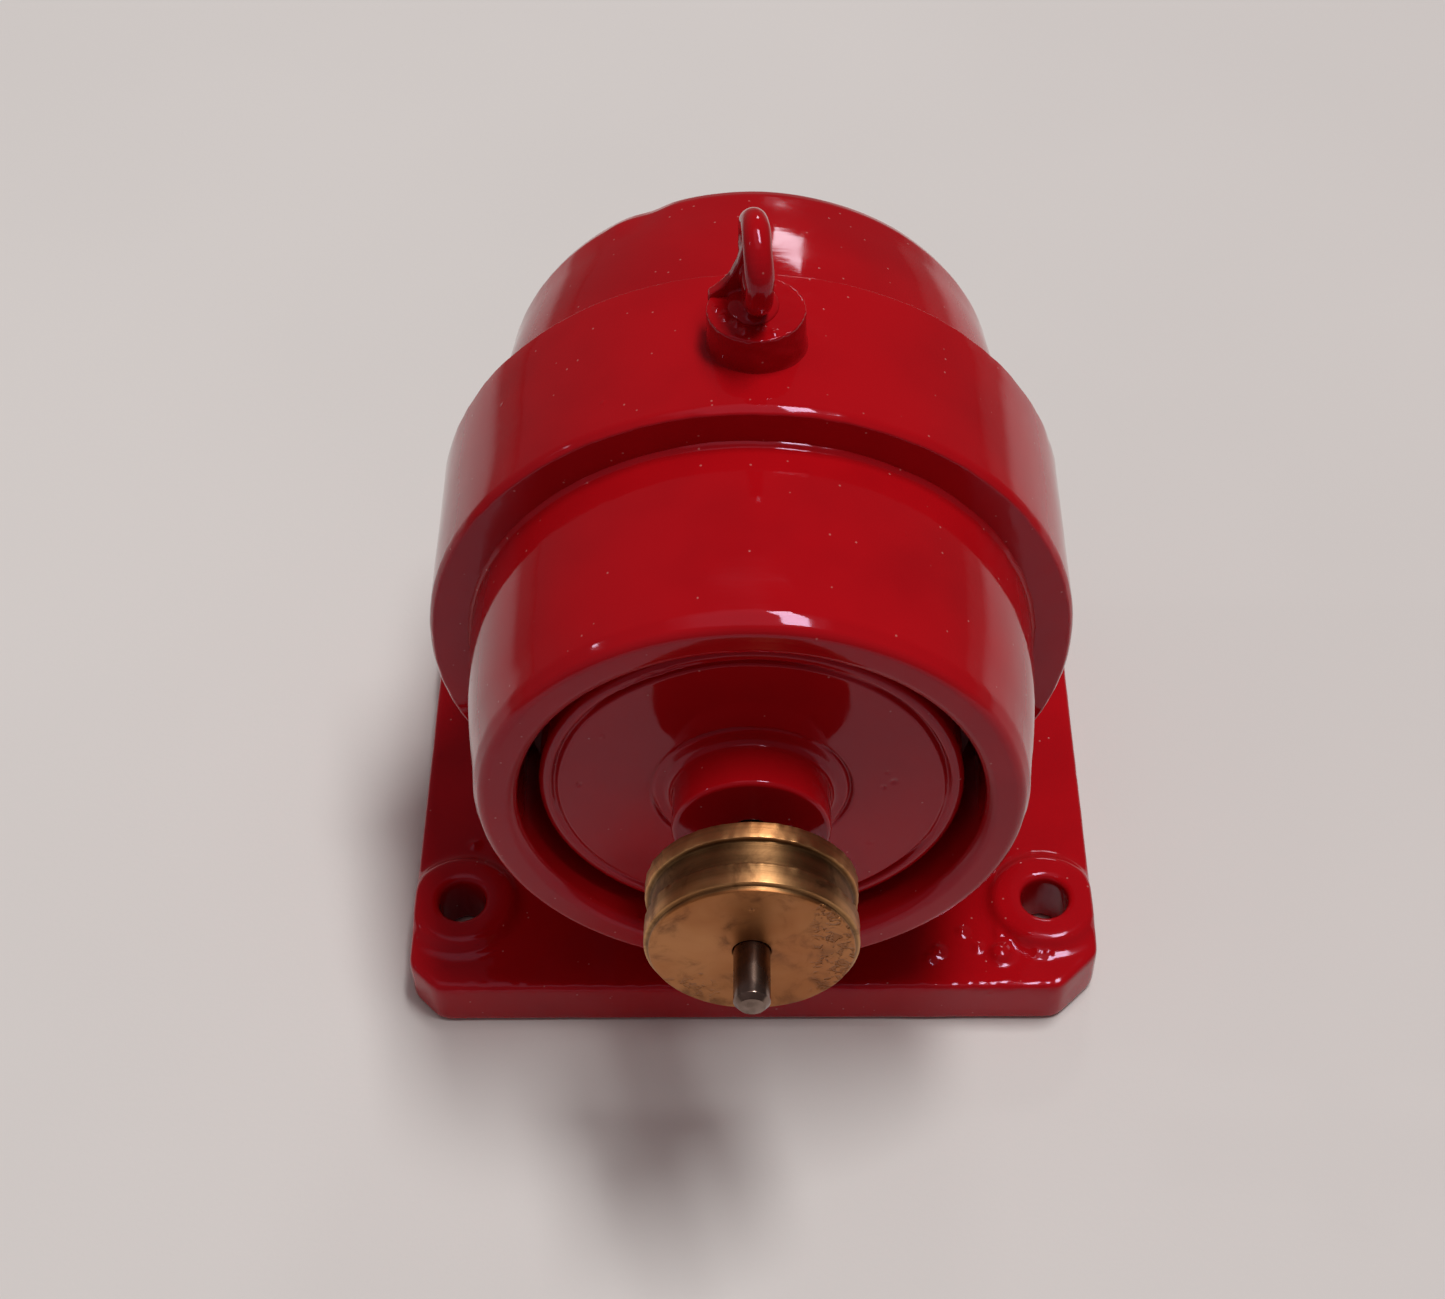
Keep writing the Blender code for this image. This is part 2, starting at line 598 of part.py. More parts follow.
def make_pulley():
    """Brass pulley with one shallow groove."""
    depth = PULLEY_RADIUS - GROOVE_RADIUS
    width = GROOVE_REAR - GROOVE_FRONT
    groove = []
    steps = 6
    for step in range(steps + 1):
        turn = math.pi * step / steps
        reach = PULLEY_RADIUS - depth * min(1.0, 1.25 * math.sin(turn))
        groove.append((reach, GROOVE_FRONT + width * (1 - math.cos(turn)) / 2))
    edge = PULLEY_EDGE
    return turned(
        "pulley",
        [(FIXED_BORE, PULLEY_FRONT), (PULLEY_RADIUS - edge, PULLEY_FRONT), (PULLEY_RADIUS, PULLEY_FRONT + edge)]
        + groove
        + [(PULLEY_RADIUS, PULLEY_REAR - edge), (PULLEY_RADIUS - edge, PULLEY_REAR), (FIXED_BORE, PULLEY_REAR)],
        "brass", 40,
    )


def make_brush_gear():
    """On each side a terminal strip, and a leaf spring that holds a carbon brush to the commutator."""
    front = COMMUTATOR_MIDDLE - BRUSH_ARM_WIDTH / 2
    rear = COMMUTATOR_MIDDLE + BRUSH_ARM_WIDTH / 2
    for side, tag in ((-1, "left"), (1, "right")):
        block(
            f"terminal_{tag}",
            (side * TERMINAL_X - TERMINAL_HALF_WIDTH, front, TERMINAL_Z - TERMINAL_HALF_THICKNESS),
            (side * TERMINAL_X + TERMINAL_HALF_WIDTH, TERMINAL_REAR, TERMINAL_Z + TERMINAL_HALF_THICKNESS),
            "brass",
        )
        arm_outer = side * (BRUSH_ARM_X + BRUSH_ARM_THICKNESS)
        arm = block(
            f"brush_arm_{tag}",
            (min(side * BRUSH_ARM_X, arm_outer), front, BRUSH_PIVOT_Z - BRUSH_ARM_FOOT),
            (max(side * BRUSH_ARM_X, arm_outer), rear, BRUSH_ARM_TOP), "bronze",
        )
        brush_outer = side * (BRUSH_ARM_X - SEAT_GAP)
        brush = block(
            f"brush_{tag}",
            (min(side * BRUSH_FACE_X, brush_outer), front + BRUSH_INSET, AXIS_HEIGHT - BRUSH_HALF_HEIGHT),
            (max(side * BRUSH_FACE_X, brush_outer), rear - BRUSH_INSET, AXIS_HEIGHT + BRUSH_HALF_HEIGHT),
            "carbon",
        )
        pivot = axis_empty(f"brush_pivot_{tag}", (side * BRUSH_ARM_X, COMMUTATOR_MIDDLE, BRUSH_PIVOT_Z))
        ride_on([arm, brush], pivot)


make_base_plate()
make_field_ring()
make_drum("front_drum", FRONT_DRUM_END)
make_drum("rear_drum", REAR_DRUM_END)
make_lifting_eye()
make_base_screws()
make_motor_case()
make_field()
make_rotor()
make_brush_gear()
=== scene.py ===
import json
import math

import bmesh
import bpy
from mathutils import Matrix, Vector, noise


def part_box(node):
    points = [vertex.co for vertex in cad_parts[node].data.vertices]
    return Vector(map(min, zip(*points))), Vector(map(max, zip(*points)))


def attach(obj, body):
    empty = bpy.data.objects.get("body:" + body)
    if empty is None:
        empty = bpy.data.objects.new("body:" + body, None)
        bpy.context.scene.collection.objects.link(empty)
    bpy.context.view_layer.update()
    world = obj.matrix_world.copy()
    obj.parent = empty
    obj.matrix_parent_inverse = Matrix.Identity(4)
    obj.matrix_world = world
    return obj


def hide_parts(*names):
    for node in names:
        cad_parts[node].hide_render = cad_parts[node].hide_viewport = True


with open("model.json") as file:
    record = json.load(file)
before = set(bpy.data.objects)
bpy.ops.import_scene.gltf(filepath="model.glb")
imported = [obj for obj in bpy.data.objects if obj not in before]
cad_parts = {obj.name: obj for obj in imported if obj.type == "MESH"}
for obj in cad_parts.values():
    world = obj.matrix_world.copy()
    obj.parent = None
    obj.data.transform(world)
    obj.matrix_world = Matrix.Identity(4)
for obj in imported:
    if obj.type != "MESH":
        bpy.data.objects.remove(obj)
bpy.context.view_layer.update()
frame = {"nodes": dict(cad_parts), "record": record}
mm = 0.001
shaftHeight = frame["record"]["behaviour"]["joints"][0]["pos_m"][2]
shaftLine = Vector((0.0, 0.0, shaftHeight))


# ---------- small helpers

def addNode(tree, kind, inputs=None, **settings):
    node = tree.nodes.new(kind)
    for key, value in settings.items():
        setattr(node, key, value)
    for key, value in (inputs or {}).items():
        if isinstance(value, bpy.types.NodeSocket):
            tree.links.new(value, node.inputs[key])
        else:
            node.inputs[key].default_value = value
    return node


def newMaterial(name):
    material = bpy.data.materials.new(name)
    material.use_nodes = True
    tree = material.node_tree
    return material, tree, tree.nodes["Principled BSDF"]


def objectPoint(tree):
    return addNode(tree, "ShaderNodeTexCoord").outputs["Object"]


def noiseValue(tree, point, scale, detail=2.0, roughness=0.5, distortion=0.0):
    made = addNode(tree, "ShaderNodeTexNoise", {"Vector": point, "Scale": scale, "Detail": detail,
                                                "Roughness": roughness, "Distortion": distortion})
    return made.outputs["Fac"]


def spread(tree, value, low, high, toLow=0.0, toHigh=1.0):
    limits = {"Value": value, "From Min": low, "From Max": high, "To Min": toLow, "To Max": toHigh}
    return addNode(tree, "ShaderNodeMapRange", limits, interpolation_type="SMOOTHSTEP").outputs["Result"]


def calc(tree, operation, first, second=0.0):
    return addNode(tree, "ShaderNodeMath", {0: first, 1: second}, operation=operation).outputs[0]


def blendColour(tree, amount, first, second):
    made = addNode(tree, "ShaderNodeMix", {0: amount, 6: first, 7: second}, data_type="RGBA")
    return made.outputs[2]


def blendValue(tree, amount, first, second):
    return addNode(tree, "ShaderNodeMix", {0: amount, 2: first, 3: second}, data_type="FLOAT").outputs[0]


def bumpFrom(tree, height, distance, normal=None, strength=1.0):
    inputs = {"Height": height, "Distance": distance, "Strength": strength}
    if normal is not None:
        inputs["Normal"] = normal
    return addNode(tree, "ShaderNodeBump", inputs).outputs["Normal"]


def rgba(colour):
    return (*colour, 1.0)


def scattered(tree, point, scale, share, radius):
    # small round spots: only a share of the cells has one, each at its own place
    cells = addNode(tree, "ShaderNodeTexVoronoi", {"Vector": point, "Scale": scale, "Randomness": 1.0})
    chosen = addNode(tree, "ShaderNodeSeparateColor", {"Color": cells.outputs["Color"]}).outputs[0]
    kept = calc(tree, "LESS_THAN", chosen, share)
    return calc(tree, "MULTIPLY", spread(tree, cells.outputs["Distance"], radius, 0.0), kept)


def newPiece(name, mesh, material, body, *nodes):
    piece = bpy.data.objects.new(name, mesh)
    bpy.context.scene.collection.objects.link(piece)
    mesh.materials.clear()
    mesh.materials.append(material)
    mesh.shade_smooth()
    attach(piece, body)
    if nodes:
        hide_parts(*nodes)
    return piece


slotOf = {part["node"]: part["material_slot"] for part in frame["record"]["subparts"]}


def roundedLine(points, steps=6):
    # (radius, along, rounding) corners become a line with true arcs; the line closes on itself
    line = []
    for index, (x, y, rounding) in enumerate(points):
        corner = Vector((x, y))
        back = Vector(points[index - 1][:2]) - corner
        ahead = Vector(points[(index + 1) % len(points)][:2]) - corner
        if rounding <= 0 or back.length < 1e-9 or ahead.length < 1e-9:
            line.append((x, y))
            continue
        angle = back.angle(ahead)
        reach = min(rounding / math.tan(angle / 2), 0.49 * back.length, 0.49 * ahead.length)
        radius = reach * math.tan(angle / 2)
        inward = (back.normalized() + ahead.normalized()).normalized()
        middle = corner + inward * (radius / math.sin(angle / 2))
        start = corner + back.normalized() * reach - middle
        turn = start.angle_signed(corner + ahead.normalized() * reach - middle)
        for step in range(steps + 1):
            line.append(tuple(middle + Matrix.Rotation(-turn * step / steps, 2) @ start))
    return line


def evenedLine(line, longest):
    # adds points so that no stretch is longer than this
    fine = []
    for first, second in zip(line, line[1:] + line[:1]):
        count = max(1, math.ceil((Vector(second) - Vector(first)).length / longest))
        for step in range(count):
            fine.append(tuple(Vector(first).lerp(Vector(second), step / count)))
    return fine


def ringPoint(radius, along, angle):
    return radius * math.sin(angle), along, radius * math.cos(angle)


def turnedMesh(name, line, steps, reshape=None):
    # turns a closed (radius, along) line round the shaft's line
    work = bmesh.new()
    rings = []
    for radius, along in line:
        if radius < 1e-7:
            rings.append([work.verts.new(shaftLine + Vector((0.0, along, 0.0)))])
            continue
        ring = []
        for step in range(steps):
            angle = math.tau * step / steps
            move = reshape(radius, along, angle) if reshape else (0.0, 0.0)
            reach = radius + move[0]
            ring.append(work.verts.new(shaftLine + Vector(ringPoint(reach, along + move[1], angle))))
        rings.append(ring)
    for first, second in zip(rings, rings[1:] + rings[:1]):
        if len(first) == 1 and len(second) == 1:
            continue
        for step in range(steps):
            after = (step + 1) % steps
            if len(first) == 1:
                work.faces.new((first[0], second[step], second[after]))
            elif len(second) == 1:
                work.faces.new((first[step], second[0], first[after]))
            else:
                work.faces.new((first[step], second[step], second[after], first[after]))
    bmesh.ops.recalc_face_normals(work, faces=work.faces)
    mesh = bpy.data.meshes.new(name)
    work.to_mesh(mesh)
    work.free()
    return mesh


def ripple(x, y, z, size, depth, seed=0.0):
    return depth * noise.noise(Vector((x + seed, y, z)) / size)


def hill(distance, width):
    return math.exp(-(distance / width) ** 2)


def roughen(mesh, size, depth, seed=0.0, above=-1.0):
    normals = [vertex.normal.copy() for vertex in mesh.vertices]
    for vertex, normal in zip(mesh.vertices, normals):
        if vertex.co.z > above:
            vertex.co += normal * ripple(*vertex.co, size, depth, seed)


def remeshed(parts, name, voxel, smoothing):
    # joins closed shapes, melts them together on a fine grid and softens the edges, as thick paint does
    work = bmesh.new()
    for mesh in parts:
        work.from_mesh(mesh)
    mesh = bpy.data.meshes.new(name)
    work.to_mesh(mesh)
    work.free()
    holder = bpy.data.objects.new(name, mesh)
    bpy.context.scene.collection.objects.link(holder)
    melt = holder.modifiers.new("melt", "REMESH")
    melt.mode = "VOXEL"
    melt.voxel_size = voxel
    melt.use_smooth_shade = True
    soften = holder.modifiers.new("soften", "SMOOTH")
    soften.factor = 0.5
    soften.iterations = smoothing
    made = appliedMesh(holder)
    for used in parts:
        bpy.data.meshes.remove(used)
    return made


def appliedMesh(holder):
    bpy.context.view_layer.update()
    graph = bpy.context.evaluated_depsgraph_get()
    made = bpy.data.meshes.new_from_object(holder.evaluated_get(graph))
    made.name = holder.name
    old = holder.data
    bpy.data.objects.remove(holder)
    bpy.data.meshes.remove(old)
    return made


def shapeMesh(build, place=Matrix.Identity(4)):
    work = bmesh.new()
    build(work)
    work.transform(place)
    mesh = bpy.data.meshes.new("shape")
    work.to_mesh(mesh)
    work.free()
    return mesh


def uprightRod(radius, low, high, x=0.0, y=0.0, steps=64, topRadius=None):
    upper = radius if topRadius is None else topRadius
    return shapeMesh(
        lambda work: bmesh.ops.create_cone(work, cap_ends=True, segments=steps, radius1=radius, radius2=upper,
                                           depth=high - low),
        Matrix.Translation((x, y, (low + high) / 2)))


def blob(place, size):
    return shapeMesh(lambda work: bmesh.ops.create_uvsphere(work, u_segments=20, v_segments=12, radius=1.0),
                     Matrix.Translation(place) @ Matrix.Diagonal((*size, 1.0)))


def carved(mesh, cutters):
    holder = bpy.data.objects.new("carved", mesh)
    bpy.context.scene.collection.objects.link(holder)
    tools = []
    for index, (cutter, operation) in enumerate(cutters):
        tool = bpy.data.objects.new(f"tool_{index}", cutter)
        bpy.context.scene.collection.objects.link(tool)
        step = holder.modifiers.new(tool.name, "BOOLEAN")
        step.operation = operation
        step.object = tool
        tools.append(tool)
    made = appliedMesh(holder)
    for tool in tools:
        old = tool.data
        bpy.data.objects.remove(tool)
        bpy.data.meshes.remove(old)
    return made


# ---------- red enamel, brushed on thickly

enamel = {
    "colour": (0.43, 0.0036, 0.0070),
    "deeper": (0.36, 0.0030, 0.0060),
    "dust": (0.60, 0.20, 0.18),
    "tint": (0.86, 0.68, 0.95),
    "ior": 1.38,
    "roughness": (0.05, 0.12),
    "flow": (170.0, 0.035 * mm),            # slow waves of thick paint: scale, height
    "peel": (800.0, 0.0040 * mm),
    "brushed": ((500.0, 2600.0, 500.0), 0.0035 * mm),       # brush marks round the casing: scale, height
    "dustShare": (1.2, 0.6),                # how strongly the fine specks show, and at most
    "specks": (420.0, 0.14, 0.13),          # scale, share of cells, radius in cells
    "pits": (260.0, 0.07, 0.10),
}


def enamelMaterial(name, flowShare=1.0, speckShare=1.0):
    material, tree, shader = newMaterial(name)
    point = objectPoint(tree)
    flow = noiseValue(tree, point, enamel["flow"][0], 1.5, 0.4)
    peel = noiseValue(tree, point, enamel["peel"][0], 1.0)
    scale, share, radius = enamel["specks"]
    specks = scattered(tree, point, scale, share * speckShare, radius)
    fine = scattered(tree, point, scale * 3.0, share * 1.6 * speckShare, radius)
    scale, share, radius = enamel["pits"]
    pits = scattered(tree, point, scale, share, radius)
    depth = spread(tree, noiseValue(tree, point, 90.0, 3.0), 0.35, 0.7)
    colour = blendColour(tree, depth, rgba(enamel["colour"]), rgba(enamel["deeper"]))
    strength, most = enamel["dustShare"]
    dusty = calc(tree, "MINIMUM", calc(tree, "MULTIPLY", fine, strength), most)
    colour = blendColour(tree, dusty, colour, rgba(enamel["dust"]))
    tree.links.new(colour, shader.inputs["Base Color"])
    smears = noiseValue(tree, point, 260.0, 4.0, 0.6, 1.2)
    low, high = enamel["roughness"]
    tree.links.new(spread(tree, smears, 0.35, 0.75, low, high), shader.inputs["Roughness"])
    normal = bumpFrom(tree, flow, enamel["flow"][1] * flowShare)
    normal = bumpFrom(tree, peel, enamel["peel"][1], normal)
    scale, height = enamel["brushed"]
    stretched = addNode(tree, "ShaderNodeVectorMath", {0: point, 1: scale}, operation="MULTIPLY")
    marks = noiseValue(tree, stretched.outputs[0], 1.0, 2.0)
    normal = bumpFrom(tree, marks, height, normal)
    normal = bumpFrom(tree, specks, 0.035 * mm, normal)
    normal = bumpFrom(tree, fine, 0.012 * mm, normal)
    normal = bumpFrom(tree, calc(tree, "MULTIPLY", pits, -1.0), 0.02 * mm, normal)
    tree.links.new(normal, shader.inputs["Normal"])
    shader.inputs["IOR"].default_value = enamel["ior"]
    shader.inputs["Specular Tint"].default_value = rgba(enamel["tint"])
    return material


redEnamel = enamelMaterial("redEnamel")
redEnamelFace = enamelMaterial("redEnamelFace", 0.35, 0.5)      # the motor's flat face is painted smoothly

# ---------- field ring

ringShape = {
    "wall": 4.7 * mm,
    "shoulder": (0.48 * mm, 0.28 * mm, 1.3 * mm),       # where the edge starts to fall, how far, its round
    "edge": 0.24 * mm,
    "rearEdge": 0.14 * mm,
    "steps": 320,
    "ripple": (5.0 * mm, 0.035 * mm),
    "drips": (1.1 * mm, 0.045 * mm),                    # unevenness of the edges only
    "dripReach": (0.8 * mm, 0.9 * mm),                  # how far it goes inward and along
}


def makeFieldRing():
    low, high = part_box("field_ring")
    rim = (high.x - low.x) / 2
    bore = rim - ringShape["wall"]
    start, fall, soft = ringShape["shoulder"]
    edge = ringShape["edge"]
    line = roundedLine([
        (bore, low.y, 0), (rim - fall, low.y, edge), (rim, low.y + start, soft),
        (rim, high.y, ringShape["rearEdge"]), (bore, high.y, 0)], 10)
    size, depth = ringShape["ripple"]
    dripSize, dripDepth = ringShape["drips"]
    reachIn, reachAlong = ringShape["dripReach"]

    def reshape(radius, along, angle):
        spot = ringPoint(radius, along, angle)
        nearest = max(hill(along - low.y, reachAlong), hill(along - high.y, reachAlong))
        atEdge = hill(radius - rim, reachIn) * nearest
        return (ripple(*spot, size, depth) + atEdge * ripple(*spot, dripSize, dripDepth, 8.0),
                ripple(*spot, size, depth * 0.8, 3.0) + atEdge * ripple(*spot, dripSize, dripDepth, 2.0))

    mesh = turnedMesh("ring_skin", evenedLine(line, 1.2 * mm), ringShape["steps"], reshape)
    return newPiece("ring_skin", mesh, redEnamel, "casing", "field_ring")


# ---------- drums

drumShape = {
    "narrowing": (1.0 * mm, 2.2),           # how much the side draws in towards the rim, and how late
    "sideSteps": 12,
    "rim": 2.0 * mm,                        # length of the outer edge's round
    "rimSoft": (1.15 * mm, 0.06 * mm, 1.7 * mm),        # where it starts to fall, how far in, and its round
    "rimTight": (0.55 * mm, 0.80 * mm),                 # where it meets the face, and its round
    "lip": 0.85 * mm,                       # round of the recess's edge
    "fillet": 0.30 * mm,                    # paint in the corner against the ring
    "wall": 3.95 * mm,
    "spigot": 2.1 * mm,                     # how far inside the outer side the spigot lies
    "steps": 320,
    "ripple": (4.5 * mm, 0.030 * mm),
    "dent": (-0.40, 1.3 * mm, 0.38 * mm),   # angle, width and depth of a knock in the rear rim
    "drips": (1.0 * mm, 0.05 * mm),         # unevenness near the ring and at the rim
    "dripReach": 0.9 * mm,
}


def makeDrum(node, way):
    low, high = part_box(node)
    outer = (high.x - low.x) / 2
    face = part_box("field_ring")[1].y
    end = high.y if way > 0 else -low.y
    bore = outer - drumShape["wall"]
    spigot = outer - drumShape["spigot"]
    fillet = drumShape["fillet"]
    narrowing, late = drumShape["narrowing"]
    rimStart = end - drumShape["rim"]
    shares = [step / drumShape["sideSteps"] for step in range(1, drumShape["sideSteps"])]
    side = [(outer - narrowing * share ** late, face + (rimStart - face) * share, 0) for share in shares]
    rimRadius = outer - narrowing
    softStart, softIn, softRound = drumShape["rimSoft"]
    tightIn, tightRound = drumShape["rimTight"]
    line = roundedLine([
        (bore, 0.2 * mm, 0), (spigot, 0.2 * mm, 0), (spigot, face - 0.2 * mm, 0),
        (outer + fillet, face - 0.2 * mm, 0), (outer + fillet, face - 0.02 * mm, 0),
        (outer, face + fillet, 0.3 * mm), *side,
        (rimRadius - softIn, end - softStart, softRound), (rimRadius - tightIn, end, tightRound),
        (bore, end, drumShape["lip"])],
        12)
    size, depth = drumShape["ripple"]
    dentAngle, dentWidth, dentDepth = drumShape["dent"]

    def reshape(radius, along, angle):
        spot = ringPoint(radius, way * along, angle)
        if radius < spigot - 0.4 * mm and along < end - 3 * mm:
            return 0.0, 0.0
        out = ripple(*spot, size, depth, 7.0)
        if radius > rimRadius - 0.6 * mm:
            reach = drumShape["dripReach"]
            atEdge = max(hill(along - face, reach), 0.6 * hill(along - rimStart, reach))
            out += atEdge * ripple(*spot, *drumShape["drips"], 15.0)
        if way > 0:
            turn = (angle - dentAngle + math.pi) % math.tau - math.pi
            near = hill(turn * radius, dentWidth) * hill(end - along, 2.2 * mm)
            ridge = hill(turn * radius + 2.6 * mm, 0.9 * mm) * hill(end - along - 1.5 * mm, 0.8 * mm)
            out += (0.4 * ridge - near) * dentDepth * max(0.0, (radius - bore) / (outer - bore))
        return out, ripple(*spot, size, depth, 11.0)

    name = node.replace("drum", "drum_skin")
    mesh = turnedMesh(name, [(r, way * a) for r, a in evenedLine(line, 0.9 * mm)], drumShape["steps"],
                      lambda radius, along, angle: tuple(
                          v * s for v, s in zip(reshape(radius, way * along, angle), (1, way))))
    return newPiece(name, mesh, redEnamel, "casing", node)


# ---------- motor can, with the lines that the paint half fills

canShape = {
    "boss": (5.15 * mm, 3.4 * mm),          # radius and height
    "wall": 1.0 * mm,
    "bossHollow": 3.8 * mm,
    "bossWall": 0.6 * mm,
    "spacing": (0.07 * mm, 1.2 * mm),       # longest stretch of the outline on the face, and elsewhere
    "edge": 0.55 * mm,
    "fillet": 0.60 * mm,
    "bossEdge": 0.35 * mm,
    "opening": 1.35 * mm,
    "steps": 384,
    "outerLine": (12.80 * mm, 0.16 * mm, 0.60 * mm),   # radius, width, depth
    "bossLine": (6.45 * mm, 0.13 * mm, 0.36 * mm),
    "ripple": (6.0 * mm, 0.018 * mm),
    "chips": (-0.46, 0.20, 0.10 * mm),      # where flaked paint crosses the outer line: angle, spread, depth
    "flaked": (13.0 * mm, 0.5 * mm),        # radius and half width of that place
    "flakes": ((13.05, 0.10), (13.42, 0.07)),          # ridges of the lifted paint there: radius, width
    "pits": (                               # angle, and millimetres from the middle, across and deep
        (1.47, 9.3, 0.20, 0.10), (1.53, 8.6, 0.13, 0.08), (1.36, 9.0, 0.12, 0.06), (-1.50, 11.2, 0.14, 0.12)),
}


def makeMotorCan():
    low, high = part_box("motor_can")
    outer = (high.x - low.x) / 2
    boss, bossHeight = canShape["boss"]
    opening = canShape["opening"]
    face = low.y + bossHeight
    inside = low.y + canShape["bossWall"]
    inner = outer - canShape["wall"]
    back = face + canShape["wall"]
    hollow = canShape["bossHollow"]
    line = roundedLine([
        (outer, high.y, 0), (outer, face, canShape["edge"]), (boss, face, canShape["fillet"]),
        (boss, low.y, canShape["bossEdge"]), (opening, low.y, 0.15 * mm), (opening, inside, 0),
        (hollow, inside, 0), (hollow, back, 0), (inner, back, 0), (inner, high.y, 0)], 8)
    fine = []
    onFaceStep, elsewhere = canShape["spacing"]
    for first, second in zip(line, line[1:] + line[:1]):
        onFace = abs(first[1] - face) < 1e-6 and abs(second[1] - face) < 1e-6
        pieceLength = (Vector(second) - Vector(first)).length
        count = max(1, math.ceil(pieceLength / (onFaceStep if onFace else elsewhere)))
        for step in range(count):
            fine.append(tuple(Vector(first).lerp(Vector(second), step / count)))

    def reshape(radius, along, angle):
        if along > face + 0.3 * mm:
            return 0.0, 0.0
        spot = ringPoint(radius, along, angle)
        sink = ripple(*spot, *canShape["ripple"], 5.0)
        if abs(along - face) < 0.05 * mm:
            for name, seed in (("outerLine", 1.0), ("bossLine", 9.0)):
                lineRadius, width, depth = canShape[name]
                filled = 0.55 + 1.2 * noise.noise(Vector((math.sin(angle), math.cos(angle), seed)) * 1.7)
                wander = 0.05 * mm * noise.noise(Vector((math.sin(angle), math.cos(angle), seed + 4.0)) * 2.5)
                sink += depth * min(1.0, max(0.16, filled)) * hill(radius - lineRadius - wander, width)
            middle, reach, rough = canShape["chips"]
            turned = ((angle + math.pi) % math.tau) - math.pi - middle
            flaked = hill(turned, reach) * hill(radius - canShape["flaked"][0], canShape["flaked"][1])
            sink += flaked * rough * noise.noise(Vector(spot) / (0.35 * mm))
            for flakeRadius, flakeWidth in canShape["flakes"]:
                sink -= 1.6 * rough * flaked * hill(radius - flakeRadius * mm, flakeWidth * mm)
            for pitAngle, pitRadius, size, pitDepth in canShape["pits"]:
                side = radius * math.sin(angle) - pitRadius * mm * math.sin(pitAngle)
                rise = radius * math.cos(angle) - pitRadius * mm * math.cos(pitAngle)
                sink += pitDepth * mm * hill(math.hypot(side, rise), size * mm)
        return 0.0, sink

    mesh = turnedMesh("can_skin", fine, canShape["steps"], reshape)
    return newPiece("can_skin", mesh, redEnamelFace, "casing", "motor_can")


# ---------- base plate

plateShape = {
    "voxel": 0.20 * mm,
    "softness": (20, 4),                     # of the plate, and again with the drops on it
    "edge": 1.1 * mm,                        # round of its upright edges
    "pad": (4.6 * mm, 3.7 * mm),             # radius of a pad at its foot and at its top
    "ripple": (5.0 * mm, 0.045 * mm),
    "grain": (0.9 * mm, 0.010 * mm),
    "edgeGrain": (0.7 * mm, 0.12 * mm),      # broken paint along the front edge
    "corners": (2.2 * mm, 3.0 * mm, 2.5 * mm, 2.4 * mm),     # front left, front right, rear right, rear left
    "drops": (                               # x, y, radius, height of paint drops left on the top
        (17.9, -17.1, 0.85, 0.55), (18.4, -16.2, 0.35, 0.36), (13.4, -16.9, 0.50, 0.34),
        (12.7, -17.6, 0.40, 0.30), (15.2, -15.2, 0.36, 0.30), (16.3, -16.6, 0.34, 0.28),
        (20.6, -17.0, 0.36, 0.30), (21.3, -17.1, 0.34, 0.30), (19.4, -15.9, 0.34, 0.34),
        (24.2, -15.4, 0.34, 0.30), (-18.0, -11.8, 0.42, 0.28), (-18.2, -13.0, 0.42, 0.32),
        (-18.4, -14.1, 0.40, 0.30), (-18.9, -15.3, 0.36, 0.30), (-24.0, -14.6, 0.40, 0.34),
        (-23.3, -15.4, 0.38, 0.32), (-21.0, -7.1, 0.34, 0.26), (-20.6, -9.4, 0.32, 0.26),
        (20.6, 16.0, 0.36, 0.28), (-16.8, 15.2, 0.36, 0.28), (12.1, 17.9, 0.34, 0.26)),
    "pimpledPad": ((21.4, -12.7), 4.1, 0.1),        # its middle, how far out the pimples sit, how far up
    "pimples": (0.95, 1.9, 9, 0.24, 0.24),          # from and to angle, count, radius, height
    "run": ((17.6, -9.0), (17.9, -15.6), 16, 0.38, 0.6, 0.30),       # start, end, blobs, half sizes
    "halfWidth": 25.0 * mm,
    "padHeight": 0.8 * mm,
    "hole": (1.75 * mm, 2.7 * mm),           # radius, and how far out of the mount's point its centre is
    "seat": (22.15 * mm, 13.3 * mm),         # radius and length of the hollow under the ring
    "screwHead": (3.1 * mm, 0.4 * mm, 1.8 * mm),     # radius, straight depth, and where its cone ends
    "screwHole": 1.8 * mm,
}


def prism(outline, low, high):
    def build(work):
        under = [work.verts.new((x, y, low)) for x, y in outline]
        over = [work.verts.new((x, y, high)) for x, y in outline]
        work.faces.new(under[::-1])
        work.faces.new(over)
        for index in range(len(outline)):
            after = (index + 1) % len(outline)
            work.faces.new((under[index], under[after], over[after], over[index]))
    return shapeMesh(build)


